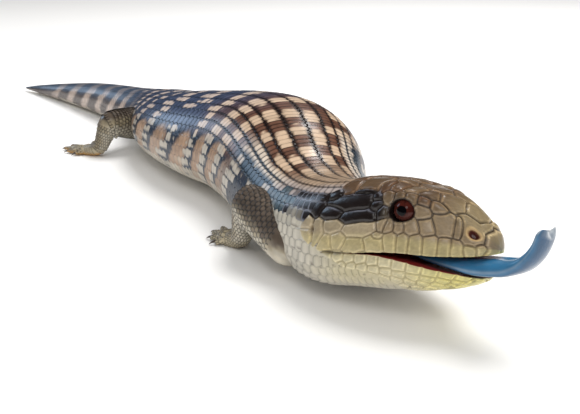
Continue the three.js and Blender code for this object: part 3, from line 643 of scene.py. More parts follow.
def face_array(mesh, name):
    values = np.zeros(len(mesh.polygons), np.int32)
    mesh.polygons.foreach_get(name, values)
    return values


def loop_vertices(mesh):
    index = np.zeros(len(mesh.loops), np.int32)
    mesh.loops.foreach_get("vertex_index", index)
    return index


def paint(mesh, colours):
    """Stores a colour for each vertex, for the materials to read."""
    colours = np.concatenate([colours, np.ones((len(colours), 1))], 1).astype(np.float32)
    layer = mesh.attributes.new("tint", "FLOAT_COLOR", "POINT")
    layer.data.foreach_set("color", colours.ravel())


def set_uv(mesh, uv_of_loops):
    layer = mesh.uv_layers.new(name="OFBake")
    layer.data.foreach_set("uv", np.asarray(uv_of_loops, np.float32).ravel())


def tube_faces(rings, around):
    i = np.arange(rings - 1)[:, None] * around
    j = np.arange(around)[None, :]
    k = (j + 1) % around
    return np.stack([i + j, i + k, i + around + k, i + around + j], -1).reshape(-1, 4)


def closed_tube(rings):
    """Points and faces of a closed tube through rings of equal count, a fan at each end."""
    n, m = rings.shape[:2]
    points = np.concatenate([rings.reshape(-1, 3), rings[[0, -1]].mean(1)])
    j = np.arange(m)
    k = (j + 1) % m
    first = np.stack([k, j, np.full(m, n * m)], -1)
    last = np.stack([(n - 1) * m + j, (n - 1) * m + k, np.full(m, n * m + 1)], -1)
    return points, [tube_faces(n, m), np.concatenate([first, last])]


# Unwrap: the head has the left half of the map and the body the right half, both round the
# section. The legs lie in strips above the head and the mouth above the body.
HEAD_END = 58
AROUND_SHARE = 0.7
STRIP_START = 0.76
STRIP_STEP = 0.055


def unwrap(u, t):
    head = 0.5 * u / HEAD_END
    body = 0.5 + 0.5 * (u - HEAD_END) / (LENGTH - HEAD_END)
    return np.stack([np.where(u < HEAD_END, head, body), t / 16 * AROUND_SHARE + 0.01], -1)


# Where the body's scales start: the head's shields and the jaw's come first.
COAT_START = [[-0.1, 46], [1.6, 46.5], [2.2, 51], [3, 53], [3.8, 55], [4.4, 53.5], [5.1, 47],
              [5.7, 40], [6.2, 28], [6.8, 24.5], [8.1, 24]]
COAT_LAP = 2
coat_start_at = table(COAT_START)


# Head relief
GROOVE = {"depth": 0.3, "width": 0.28}
PLATE = {"rise": 0.3, "edge": 0.7, "dome": 0.14}
EYE_OPENING = {"u": 23.6, "s": 2.83, "half_u": 3.3, "half_s": 0.47}
NOSTRIL = {"u": 4.8, "s": 2.75, "half_u": 1.6, "half_s": 0.4}
EAR = {"u": 51.2, "s": 3.8, "half_u": 0.8, "half_s": 0.34}
# Where the line behind the mouth runs down the side of the section.
LINE_PLACE = 4.97


MIRRORED = 500
SHIELD_SETS = (SHIELDS_SINGLE, SHIELDS_CROWN, SHIELDS_CHEEK, SHIELDS_TEMPLE, SHIELDS_LIP,
               SHIELDS_JAW)


def shield_seeds():
    """Every entry with the number of its shield. Those off the middle line come twice more, seen
    across the crown and across the throat, with numbers raised by MIRRORED each time."""
    seeds, number = [], 0
    for shields in SHIELD_SETS:
        for entries in shields:
            seeds += [(number, *entry) for entry in entries]
            if shields is not SHIELDS_SINGLE:
                seeds += [(number + MIRRORED, u, -s, a, b) for u, s, a, b in entries]
                seeds += [(number + 2 * MIRRORED, u, 16 - s, a, b) for u, s, a, b in entries]
            number += 1
    lower_lip = table(LOWER_LIP)
    for r, row in enumerate(JAW_ROWS):
        first = 3.6 + 1.8 * (r % 2) + 4 * max(r - 1, 0)
        for u in np.arange(first, MOUTH_CORNER + 5, row["long"]):
            s = lower_lip(u)[0] + row["below"]
            if s < 7.0:
                seeds.append((number, u, s, row["long"] / 2, row["high"]))
                number += 1
    return seeds


TEMPLE_FIRST = sum(len(shields) for shields in SHIELD_SETS[:3])
TEMPLE_SHIELDS = range(TEMPLE_FIRST, TEMPLE_FIRST + len(SHIELDS_TEMPLE))


def nearest_shields(u, s):
    """For each point the two nearest shields, as number, distance and its change in u and s."""
    shape = u.shape
    best = np.full((2,) + shape, np.inf)
    which = np.full((2,) + shape, -1)
    slope = np.zeros((2, 2) + shape)
    for number, uk, sk, a, b in shield_seeds():
        d = np.hypot((u - uk) / a, (s - sk) / b)
        change = np.stack([(u - uk) / (a * a), (s - sk) / (b * b)]) / np.maximum(d, 1e-6)
        closer = d < best[0]
        new = closer & (which[0] != number)
        best[1] = np.where(new, best[0], best[1])
        which[1] = np.where(new, which[0], which[1])
        slope[1] = np.where(new, slope[0], slope[1])
        best[0] = np.where(closer, d, best[0])
        which[0] = np.where(closer, number, which[0])
        slope[0] = np.where(closer, change, slope[0])
        second = ~closer & (which[0] != number) & (d < best[1])
        best[1] = np.where(second, d, best[1])
        which[1] = np.where(second, number, which[1])
        slope[1] = np.where(second, change, slope[1])
    return best, which, slope


def half_height(number):
    """The half height of each point's shield, for telling its upper side from its lower."""
    heights = np.ones(MIRRORED)
    for k, *_, b in shield_seeds():
        heights[k % MIRRORED] = b
    return heights[number]


def oval(shape, u, s):
    return np.hypot((u - shape["u"]) / shape["half_u"], (s - shape["s"]) / shape["half_s"])


def shield_relief(u, s, side, border, near, temple):
    """Domed plates with grooves between them, strongest at the temples."""
    raised = PLATE["rise"] * smoothstep(0, PLATE["edge"], border)
    dome = PLATE["dome"] * np.where(temple, 2.6, np.where(s < 2.4, 1.6, 1))
    raised += dome * np.maximum(1 - near ** 2, 0)
    groove = np.exp(-(border / GROOVE["width"]) ** 2)
    raised -= GROOVE["depth"] * groove * np.where(temple, 1.5, 1)
    return raised + 0.05 * (noise(u * 2.3, side * 15) - 0.5)


def shield_colour(u, s, side, number, temple):
    """The shields' colours from crown to jaw, with a tone for each shield and fine mottling."""
    top = mix(CROWN, SNOUT, smoothstep(20, 4, u))
    top = mix(top, SNOUT, 0.35 * noise(number * 3.1, number * 1.7))
    lore = mix(LORE, CHEEK, smoothstep(26, 34, u))
    colour = mix(top, lore, smoothstep(2.0, 2.9, s))
    colour = mix(colour, LIP_CREAM, smoothstep(3.7, 4.3, s))
    jaw = mix(CHIN, JAW, smoothstep(8, 26, u))
    jaw = mix(jaw, THROAT, smoothstep(6, 7.4, s) * smoothstep(16, 32, u))
    colour = mix(colour, jaw, smoothstep(4.8, 5.3, s))
    colour = mix(colour, TEMPLE, temple * smoothstep(24, 30, u))
    for middle, swing, grain in ((0.9, 0.2, noise(number * 1.37, number * 2.1)),
                                 (0.93, 0.14, noise(u * 1.3, side * 9)),
                                 (0.86, 0.28, noise(u * 2.1, side * 17))):
        colour = colour * (middle + swing * grain)[..., None]
    return colour


def suture_colours(colour, u, s, side, border, upper, temple, behind):
    """Dark sutures above and pale brown ones below, the shields' pale rims with painted highlight on
    the crown, and painted highlight on the temples' upper edges.
    """
    dark = np.exp(-(border / 0.23) ** 2) * (0.95 - 0.45 * smoothstep(3.4, 4.2, s))
    dark = dark * np.minimum(0.55 + 0.9 * noise(u / 3.1, side * 2.7), 1)
    suture = mix(SUTURE, SUTURE_PALE, smoothstep(3.2, 4.4, s))
    suture = mix(suture, CHEEK_SUTURE, smoothstep(36, 44, u) * smoothstep(3.2, 3.6, s) * 0.7)
    suture = mix(suture, JAW_SUTURE, smoothstep(4.8, 5.3, s))
    colour = mix(colour, suture, dark * (1 - behind))
    # Pale rims on the shields. On the crown they are patchy and strong: partly the shields' own pale
    # edges and partly painted highlight. Lower down they are weaker and are the shields' own pale
    # edges.
    patchy = np.where(s < 2.4, 1.8 * noise(u / 2, side * 5), 0.45)
    rim = np.exp(-((border - 0.5) / 0.22) ** 2) * (1 - temple) * patchy
    colour = colour * (1 + rim)[..., None]
    # Painted highlight: a pale bluish glint along the upper edges of the temple shields.
    glint = np.exp(-((border - 0.5) / 0.2) ** 2) * upper * temple
    colour = mix(colour, TEMPLE_PAINTED_HIGHLIGHT, glint * 0.75)
    mark = (noise(u / 1.4, side * 6) > 0.72) * smoothstep(6.5, 6.9, s) * smoothstep(42, 36, u)
    return mix(colour, SPECK, mark * 0.5)


def head_openings(raised, colour, u, s, mm_per_t):
    """Adds the eye opening with its dark lids, nostril, ear and the line behind the mouth."""
    eye = oval(EYE_OPENING, u, s)
    raised = np.where(eye < 1.5, raised * smoothstep(1.05, 1.5, eye), raised)
    granule = 0.12 * np.sin(np.arctan2(s - EYE_OPENING["s"], (u - EYE_OPENING["u"]) / 7) * 22)
    raised += np.exp(-((eye - 1.14) / 0.1) ** 2) * (0.75 + granule)
    raised -= 2.6 * smoothstep(1.0, 0.82, eye)
    colour = mix(colour, EYE_RING, smoothstep(1.2, 1.07, eye + 0.05 * noise(u * 3, s * 20)))
    pit = oval(NOSTRIL, u, s)
    raised -= 1.5 * smoothstep(1, 0.45, pit)
    raised += 0.3 * np.exp(-((pit - 1.25) / 0.3) ** 2)
    colour = mix(colour, NOSTRIL_RIM, smoothstep(1.6, 1.2, pit) * 0.7)
    # The nostril's pit is painted dark reddish: partly its lining, partly painted shade.
    colour = mix(colour, NOSTRIL_LINING_AND_SHADE, smoothstep(1.05, 0.75, pit))
    ear = oval(EAR, u, s)
    raised -= 1.2 * smoothstep(1.05, 0.5, ear)
    # Painted shade: the ear's hollow is darkened toward brown.
    colour = mix(colour, SUTURE_PALE, 0.7 * smoothstep(1, 0.6, ear))
    line = np.exp(-((s - LINE_PLACE) * mm_per_t / 0.4) ** 2)
    line = line * smoothstep(39, MOUTH_CORNER, u) * smoothstep(49, 46, u)
    return raised - 0.8 * line, mix(colour, SUTURE, line * 0.8)


def head_look(u, t, mm_per_t):
    """How far each point of the head is raised, and its colour. Under the body's scales the head
    is smooth and has the body's colours."""
    s = np.minimum(t, 16 - t)
    side = np.where(t <= 8, s, -s)
    warp_u = u + 0.5 * (noise(u / 3, side * 1.7) - 0.5)
    warp_s = s + 0.05 * (noise(u / 2.5 + 30, side * 2.1) - 0.5)
    best, which, slope = nearest_shields(warp_u, warp_s)
    change = np.hypot(slope[0, 0] - slope[1, 0], (slope[0, 1] - slope[1, 1]) / mm_per_t)
    border = (best[1] - best[0]) / np.maximum(change, 1e-3)
    number = which[0] % MIRRORED
    temple = np.isin(number, TEMPLE_SHIELDS)
    behind = smoothstep(-0.5, 0.5, u - coat_start_at(s)[..., 0])
    # The upper side of each shield, where the temples' painted highlight goes.
    upper = smoothstep(0, 1.2, -slope[0, 1] * half_height(number))
    raised = shield_relief(u, s, side, border, best[0], temple)
    colour = shield_colour(u, s, side, number, temple)
    colour = suture_colours(colour, u, s, side, border, upper, temple, behind)
    raised, colour = head_openings(raised, colour, u, s, mm_per_t)
    return raised * (1 - behind), mix(colour, markings(u, side)[0], behind)


# The trunk: fine rings and columns on the head, coarser ones under the body's scales.
HEAD_STEP = 0.37
HEAD_COLUMNS = 336
COARSER = 4
BODY_STEP = 2.4
SKIN_DEPTH = {"head": 0.3, "body": 0.45}
FLOOR_CLEAR = 0.12


def columns(count, at):
    """Places round the section, evenly spaced along its outline at one station."""
    t = np.linspace(0, 16, 1601)
    p = on_loop(section(np.full(t.shape, float(at))), t)
    arc = arc_length(p)
    return np.interp(np.arange(count) / count * arc[-1], arc, t)


def head_stations():
    """Distances behind the snout, evenly spaced along the skin rather than the spine."""
    u = np.linspace(0.02, HEAD_END, 3000)
    step = [np.linalg.norm(np.diff(skin_at(u, np.full(u.shape, t)), axis=0), axis=1)
            for t in (0.0, 3.0, 6.0, 8.0)]
    arc = np.concatenate([[0], np.cumsum(np.max(step, axis=0))])
    return np.interp(np.linspace(0, arc[-1], int(arc[-1] / HEAD_STEP)), arc, u)


def trunk_mesh():
    """Points, faces, places and colours of the head and body, closed at the nose and tail."""
    t_fine = columns(HEAD_COLUMNS, 31)
    t_coarse = t_fine[::COARSER]
    stations = head_stations()
    u, t = np.meshgrid(stations, t_fine, indexing="ij")
    base, out = skin_at(u, t), out_at(u, t)
    mm_per_t = np.linalg.norm(skin_at(u, t + 0.05) - skin_at(u, t - 0.05), axis=-1) / 0.1
    raised, colour = head_look(u, t, mm_per_t)
    fade = smoothstep(0, 3, u)
    depth = SKIN_DEPTH["head"] + (SKIN_DEPTH["body"] - SKIN_DEPTH["head"]) * smoothstep(44, 54, u)
    head = base + out * (raised * (0.4 + 0.6 * fade) - depth * fade)[..., None]

    body_u = np.linspace(HEAD_END + BODY_STEP, LENGTH - 0.3, int((LENGTH - HEAD_END) / BODY_STEP))
    bu, bt = np.meshgrid(body_u, t_coarse, indexing="ij")
    thin = np.minimum(SKIN_DEPTH["body"], 0.5 * girth_at(bu)[..., 2])
    body = skin_at(bu, bt) - out_at(bu, bt) * thin[..., None]

    n_fine, n_coarse = len(t_fine), len(t_coarse)
    points = np.concatenate([head.reshape(-1, 3), body.reshape(-1, 3),
                             [head[0].mean(0)], [body[-1].mean(0)]])
    start = len(stations) * n_fine
    faces = [tube_faces(len(stations), n_fine), tube_faces(len(body_u), n_coarse) + start]
    last = start - n_fine
    triangles = []
    for j in range(n_coarse):
        a, b = start + j, start + (j + 1) % n_coarse
        edge = [last + (j * COARSER + k) % n_fine for k in range(COARSER + 1)]
        half = COARSER // 2
        triangles += [(edge[k], edge[k + 1], a if k < half else b) for k in range(COARSER)]
        triangles.append((edge[half], b, a))
    nose, tip = len(points) - 2, len(points) - 1
    end = start + (len(body_u) - 1) * n_coarse
    triangles += [((j + 1) % n_fine, j, nose) for j in range(n_fine)]
    triangles += [(end + j, end + (j + 1) % n_coarse, tip) for j in range(n_coarse)]
    faces.append(np.array(triangles))
    points[:, 2] = np.maximum(points[:, 2], FLOOR_CLEAR)
    place = np.concatenate([np.stack([u.ravel(), t.ravel()], 1),
                            np.stack([bu.ravel(), bt.ravel()], 1), [[0, 0], [LENGTH, 0]]])
    side = np.where(bt <= 8, bt, bt - 16)
    tint = np.concatenate([colour.reshape(-1, 3), markings(bu, side)[0].reshape(-1, 3),
                           [SNOUT], [TAIL]])
    return points, faces, place, tint


# The mouth's space: its ends, its half width at distances behind the snout, and how far it is
# arched above and hollowed below.
MOUTH_FRONT = -9
MOUTH_HALF = [[0, 3], [4, 4.4], [13, 9], [31, 14], [42, 15]]
MOUTH_ARCH = 2.6
MOUTH_HOLLOW = 1.6
MOUTH_SIDE = 30


def between(rows, x):
    """A value read between the rows of a table, in straight lines."""
    return np.interp(x, *np.transpose(rows))


def mouth_solid():
    """The space between the jaws, arched above and hollowed below."""
    rings = []
    y = np.linspace(-MOUTH_SIDE, MOUTH_SIDE, 61)
    for u in np.linspace(MOUTH_FRONT, MOUTH_CORNER, 60):
        lip, gape = lip_at(u)[0], gape_at(u)[0]
        inner = np.maximum(1 - (y / between(MOUTH_HALF, u)) ** 2, 0) ** 0.7
        open_share = smoothstep(0, 3, gape) * smoothstep(2, 9, u)
        close = smoothstep(MOUTH_CORNER, MOUTH_CORNER - 8, u)
        top = lip + MOUTH_ARCH * inner * open_share
        bottom = lip - gape * (0.25 + 0.75 * close) - MOUTH_HOLLOW * inner * open_share
        ring_y = np.concatenate([y, y[::-1]])
        ring_z = np.concatenate([top + 0 * y, (bottom + 0 * y)[::-1]])
        rings.append(local(np.full(len(ring_y), u), ring_y, ring_z))
    return closed_tube(np.array(rings))


# Legs
LEG_SAMPLES = 40
LEG_AROUND = 24
LEG_REACH = 45
REMESH = 0.55


def leg_path(leg):
    """Points and radii down a leg from the body to the palm, smooth at the elbow and wrist."""
    root, elbow, wrist, palm = (np.array(leg[k], float) for k in ("root", "elbow", "wrist", "palm"))
    r0, r1, r2, r3 = leg["girth"]
    key = np.array([root, root * 0.5 + elbow * 0.5, elbow, elbow * 0.5 + wrist * 0.5, wrist, palm])
    radius = np.array([r0, (r0 + r1) * 0.53, (r1 + r2) * 0.5, (r2 + r3) * 0.5, r3, r3 * 0.9])
    arc = arc_length(key)
    smooth = table(np.column_stack([arc, key, radius]))(np.linspace(0, arc[-1], LEG_SAMPLES))
    return smooth[:, :3], smooth[:, 3]


def across_frames(path):
    """Two directions across a path at each point."""
    along = unit(np.gradient(path, axis=0))
    first = unit(np.cross(np.array([0.3, 0.2, 1.0]), along[0]))
    firsts = [first]
    for d in along[1:]:
        first = unit(first - d * np.dot(first, d))
        firsts.append(first)
    firsts = np.array(firsts)
    return along, firsts, np.cross(along, firsts)


def path_rings(path, radius, around):
    _, a, b = across_frames(path)
    angle = np.arange(around) / around * 2 * math.pi
    rings = [path + (a * math.cos(x) + b * math.sin(x)) * radius[:, None] for x in angle]
    return np.stack(rings, 1)


def rounded_tube(path, radius, around):
    """A tube with round ends."""
    along = unit(np.gradient(path, axis=0))
    steps = np.array([0.97, 0.8, 0.5, 0.2])
    round_off = np.sqrt(1 - steps ** 2)
    start = path[0] - along[0] * radius[0] * steps[:, None]
    end = path[-1] + along[-1] * radius[-1] * steps[::-1, None]
    full = np.concatenate([start, path, end])
    full_radius = np.concatenate([radius[0] * round_off, radius, radius[-1] * round_off[::-1]])
    return closed_tube(path_rings(full, full_radius, around))


# Digits: the length left for the claw, and the height and radius at shares of the way from the
# palm to the claw's root. Then the pad of the palm and the webs between the digits' roots.
CLAW_ROOM = 3.6
DIGIT_POINTS = 14
DIGIT_HEIGHT = [[0, 2.3], [0.4, 2.6], [0.72, 1.9], [1, 1.35]]
DIGIT_RADIUS = [[0, 2.0], [0.3, 1.75], [0.6, 1.5], [0.85, 1.45], [1, 1.05]]
PAD = {"back": 3, "ahead": 2.2, "height": 2.2, "radius": (2.2, 2.6, 2.2)}
WEB = {"points": 5, "height": 1.9, "radius": 1.7}


def digit_path(leg, tip):
    """A digit's middle line and radius from the palm to the root of its claw."""
    palm = np.array(leg["palm"])
    tip = np.array([*tip, 0.0])
    direction = unit((tip - palm) * [1, 1, 0])
    reach = np.linalg.norm((tip - palm)[:2]) - CLAW_ROOM
    share = np.linspace(0, 1, DIGIT_POINTS)
    path = palm * [1, 1, 0] + direction * (share * reach)[:, None]
    path[:, 2] = between(DIGIT_HEIGHT, share)
    radius = between(DIGIT_RADIUS, share) * (1 + 0.06 * np.cos(share * 6 * math.pi))
    return path, radius, direction


def join_parts(parts):
    """Points and faces of several parts as one list of each."""
    points, faces, count = [], [], 0
    for p, fs in parts:
        points.append(p)
        faces += [f + count for f in fs]
        count += len(p)
    quads = [f for f in faces if f.shape[1] == 4]
    triangles = [f for f in faces if f.shape[1] == 3]
    return np.concatenate(points), [np.concatenate(quads), np.concatenate(triangles)]


def applied(obj):
    """The object's mesh with its modifiers applied, in place of the old one."""
    graph = bpy.context.evaluated_depsgraph_get()
    mesh = bpy.data.meshes.new_from_object(obj.evaluated_get(graph))
    obj.modifiers.clear()
    obj.data = mesh
    return obj


def leg_object(name, leg, material):
    """A leg with its palm, digits and webs, melted together and relaxed."""
    palm = np.array(leg["palm"])
    heading = unit(np.array([*np.mean(leg["digits"], axis=0), 0.0]) - palm * [1, 1, 0])
    pad = np.stack([palm - heading * PAD["back"], palm, palm + heading * PAD["ahead"]])
    pad[:, 2] = PAD["height"]
    parts = [rounded_tube(*leg_path(leg), LEG_AROUND),
             rounded_tube(pad, np.array(PAD["radius"]), 16)]
    for tip in leg["digits"]:
        digit, thick, _ = digit_path(leg, tip)
        parts.append(rounded_tube(digit, thick, 14))
        web = digit[:WEB["points"]].copy()
        web[:, 2] = WEB["height"]
        parts.append(rounded_tube(web, np.full(WEB["points"], WEB["radius"]), 10))
    obj = make_mesh("leg_" + name, *join_parts(parts), material)
    remesh = obj.modifiers.new("remesh", "REMESH")
    remesh.mode = "VOXEL"
    remesh.voxel_size = REMESH * MM
    relax = obj.modifiers.new("relax", "SMOOTH")
    relax.factor = 0.5
    relax.iterations = 6
    return applied(obj)


def cut_skin(skin, leg_mark, mouth_lining):
    """Joins the legs to the skin and cuts the mouth out. Every face keeps its own material."""
    tools = [(leg_object(name, leg, leg_mark), "UNION") for name, leg in LEGS.items()]
    tools.append((make_mesh("mouth_space", *mouth_solid(), mouth_lining), "DIFFERENCE"))
    for k, (obj, operation) in enumerate(tools):
        cut = skin.modifiers.new("cut_%d" % k, "BOOLEAN")
        cut.object = obj
        cut.operation = operation
        cut.solver = "MANIFOLD"
        cut.material_mode = "TRANSFER"
    applied(skin)
    for obj, _ in tools:
        bpy.data.objects.remove(obj)


def nearest_of(points, wanted):
    """The index of the point nearest to each wanted one, all in metres."""
    tree = KDTree(len(points))
    for i, p in enumerate(points):
        tree.insert(p, i)
    tree.balance()
    return np.array([tree.find(p)[1] for p in wanted])


def trunk_unwrap(place, sizes):
    """The map places of the trunk's corners, with each face kept whole across the seam."""
    u, t = place.T
    face = np.repeat(np.arange(len(sizes)), sizes)
    high = np.maximum.reduceat(t, face_starts(sizes))
    return unwrap(u, np.where(high[face] - t > 8, t + 16, t))


def leg_unwrap(points, on_legs):
    """The map places of the points on the legs, in a strip for each leg along and round it."""
    uv = np.zeros((len(points), 2))
    for k, leg in enumerate(LEGS.values()):
        path, _ = leg_path(leg)
        mine = on_legs[np.linalg.norm(points[on_legs] - path.mean(0), axis=1) < LEG_REACH]
        station = np.linalg.norm(points[mine][:, None] - path[None], axis=2).argmin(1)
        along, a, b = (v[station] for v in across_frames(path))
        rel = points[mine] - path[station]
        angle = np.arctan2((rel * b).sum(1), (rel * a).sum(1))
        reach = np.minimum((station + (rel * along).sum(1) / 3) / LEG_SAMPLES, 1.4)
        strip = STRIP_START + STRIP_STEP * (k + 0.9 * (angle / 2 / math.pi + 0.5))
        uv[mine] = np.stack([0.02 + 0.3 * np.maximum(reach, 0), strip], 1)
    return uv


def build_skin(skin_material, mouth_lining):
    """One closed skin: trunk and legs joined, the mouth cut out, with colours and unwrap."""
    points, faces, place, tint = trunk_mesh()
    leg_mark = bpy.data.materials.new("leg_mark")
    skin = make_mesh("skin", points, faces, skin_material)
    for material in (mouth_lining, leg_mark):
        skin.data.materials.append(material)
    cut_skin(skin, leg_mark, mouth_lining)
    mesh = skin.data
    names = [m.name for m in mesh.materials]
    index, sizes = face_array(mesh, "material_index"), face_array(mesh, "loop_total")
    is_leg, is_mouth = (index == names.index(m.name) for m in (leg_mark, mouth_lining))
    leg_loop, mouth_loop = np.repeat(is_leg, sizes), np.repeat(is_mouth, sizes)
    loops = loop_vertices(mesh)

    co = vertex_array(mesh)
    co[:, 2] = np.maximum(co[:, 2], FLOOR_CLEAR * MM)
    mesh.vertices.foreach_set("co", co.astype(np.float32).ravel())
    rest = co / MM - OFFSET
    near = nearest_of(to_metres(points), co)
    colour = tint[near]
    leg_vertex = np.zeros(len(co), bool)
    leg_vertex[loops[leg_loop]] = True
    leg_vertex[loops[~leg_loop]] = False
    colour[leg_vertex] = leg_colour(rest[leg_vertex], vertex_array(mesh, "normal")[leg_vertex])
    paint(mesh, colour)

    uv = trunk_unwrap(place[near][loops], sizes)
    uv[leg_loop] = leg_unwrap(rest, np.unique(loops[leg_loop]))[loops[leg_loop]]
    inside = rest[loops[mouth_loop]]
    uv[mouth_loop] = np.stack([0.62 + (inside[:, 0] + 50) * 0.005, 0.87 + inside[:, 1] * 0.004], 1)
    set_uv(mesh, uv)
    index[is_leg] = names.index(skin_material.name)
    mesh.polygons.foreach_set("material_index", index)
    mesh.polygons.foreach_set("use_smooth", np.ones(len(index), bool))
    mesh.materials.pop(index=names.index(leg_mark.name))
    bpy.data.materials.remove(leg_mark)
    return skin


def leg_colour(points, normal):
    """Dark above and outside, cream below, olive cream on the foot with ochre soles behind."""
    x, y, z = points.T
    speck = noise(x / 1.8, y / 1.8 + z / 2.1)
    hind = x < -200
    upward = normal[:, 2] + 0.35 * (speck - 0.5)
    colour = mix(LIMB_CREAM, LIMB_MID, smoothstep(-0.35, 0.1, upward))
    colour = mix(colour, LIMB_DARK, smoothstep(-0.1, 0.35, upward - 0.3 * hind) * smoothstep(5, 10, z))
    colour = mix(colour, FOOT, smoothstep(7, 4.5, z))
    colour = mix(colour, SOLE, smoothstep(3.2, 1.2, z) * hind)
    colour = mix(colour, LIMB_DARK, smoothstep(0.7, 0.95, upward) * smoothstep(4.5, 3.6, z) * 0.6)
    return colour * (0.75 + 0.5 * speck)[:, None]


# Scales: how much longer and wider than its place each one is, and its measures in millimetres
# at full size. A plan gives the shares of length and of half width where a scale has points.
SCALE = {"overlap": 1.55, "wide": 1.26, "lift": 0.3, "dome": 0.1, "thick": 0.12, "sunk": 0.16}
PLAN_ALONG = [0, 0.45, 0.68, 0.86, 0.93, 1]
PLAN_ACROSS = [-1, -0.8, -0.64, -0.44, 0, 0.44, 0.64, 0.8, 1]


def scale_template(along, across):
    """A rounded scale on a unit plan: shares of length and half width, how near its points are
    to its sides and to its end, which of them are underneath, and its faces."""
    x, y = np.array(along, float), np.array(across, float)
    half = np.maximum((1 - np.clip((x - 0.66) / 0.34, 0, 1) ** 3) ** 0.6, 0.42)
    xs, ys = np.meshgrid(x, y, indexing="ij")
    hs = half[:, None] * ys
    top = np.arange(xs.size).reshape(xs.shape)
    quads = np.stack([top[:-1, :-1], top[1:, :-1], top[1:, 1:], top[:-1, 1:]], -1).reshape(-1, 4)
    rim = np.concatenate([top[:-1, 0], top[-1, :-1], top[:0:-1, -1], top[0, :0:-1]])
    under = np.arange(len(rim)) + xs.size
    following = np.roll(np.arange(len(rim)), -1)
    walls = np.stack([rim, under, under[following], rim[following]], -1)
    middle = xs.size + len(rim)
    fan = np.stack([under, np.full(len(rim), middle), under[following]], -1)
    px = np.concatenate([xs.ravel(), xs.ravel()[rim], [0.5]])
    py = np.concatenate([hs.ravel(), hs.ravel()[rim], [0]])
    beside = np.concatenate([np.abs(ys).ravel(), np.abs(ys).ravel()[rim], [1]])
    low = np.concatenate([np.zeros(xs.size), np.ones(len(rim) + 1)])
    return px, py, beside, low, quads[:, ::-1], walls[:, ::-1], fan[:, ::-1]


def body_look(rows, x, y):
    """The markings at x back and y across from each scale's root."""
    t = rows["t"][:, None] + y / rows["mm_per_t"][:, None]
    u = np.minimum(rows["u"][:, None] + x * rows["u_per_mm"][:, None], LENGTH)
    middle = rows["middle"][:, None] + 0 * x
    side, scale_side = (np.where(v <= 8, v, v - 16) for v in (t, rows["t"][:, None] + 0 * x))
    colour, edge, sides, ends = markings(u, side, rows["row"][:, None] + 0 * x, (middle, scale_side))
    return colour * rows["tone"][:, None, None], edge, sides, ends


def leg_look(rows, x, y):
    """One colour for each scale, with darker edges."""
    colour = rows["colour"][:, None] + 0 * x[..., None]
    return colour, colour * 0.18, 1 + 0 * x, 0.9 + 0 * x


def build_scales(name, rows, look, material, plan=(PLAN_ALONG, PLAN_ACROSS)):
    """One mesh of many overlapping scales, each set by its root, lie, size, bend and look."""
    root, lie, out = rows["root"], unit(rows["lie"]), rows["out"]
    out = unit(out - lie * (out * lie).sum(1, keepdims=True))
    cross = np.cross(out, lie)
    px, py, beside, low, quads, walls, fan = scale_template(*plan)
    long, wide = rows["long"][:, None], rows["wide"][:, None]
    x, y = px * long, py * wide / 2
    size = rows["size"][:, None]
    z = (-SCALE["sunk"] + (SCALE["lift"] + SCALE["sunk"]) * px) * size
    z = z + SCALE["dome"] * size * (1 - np.maximum(px, beside) ** 2)
    z = z - y * y / (2 * rows["bend"][:, None])
    z = z - low * SCALE["thick"] * size
    p = (root[:, None] + lie[:, None] * x[..., None] + cross[:, None] * y[..., None]
         + out[:, None] * z[..., None])
    p[..., 2] = np.maximum(p[..., 2], 0.0)
    count, m = len(root), len(px)
    offset = (np.arange(count) * m)[:, None, None]
    quads, walls, fan = ((f[None] + offset).reshape(-1, f.shape[1]) for f in (quads, walls, fan))
    faces = [np.concatenate([quads, walls]), fan]
    obj = make_mesh(name, p.reshape(-1, 3), faces, material)
    colour, edge, sides, ends = look(rows, x, y)
    border = 0.8 - 0.17 * sides
    share = np.maximum(sides * smoothstep(-0.12, 0.06, beside - border),
                       ends * smoothstep(0.86, 0.93, px)[None])
    # Painted sheen: each scale is lightened in a band just ahead of its dark end line.
    painted_sheen = 1 + 0.3 * np.exp(-((px - 0.68) / 0.1) ** 2) * ends
    colour = mix(colour * painted_sheen[..., None], edge, share)
    paint(obj.data, colour.reshape(-1, 3))
    uv = rows["uv"][:, None] + 0.003 * np.stack([px - 0.5, py * 0.5], -1)[None]
    set_uv(obj.data, uv.reshape(-1, 2)[loop_vertices(obj.data)])
    return obj


# Where some of the rows end behind the snout, how far before that they start to close, how narrow
# they get first, where the first scales may lie, and the step from scale to scale along a row.
ROW_ENDS = {9: 256, 13: 262, 5: 268, 16: 275, 11: 290, 7: 310, 3: 330, 14: 350, 10: 368, 6: 385,
            2: 400, 15: 414, 8: 428, 12: 440}
ROW_CLOSES = 16
NARROWEST = 0.3
COAT_FIRST = 22.0
SCALE_STEP = [[20, 2.2], [60, 2.4], [90, 2.7], [120, 3.1], [170, 3.3], [260, 3.1], [340, 2.8],
              [400, 2.3], [458, 1.5]]


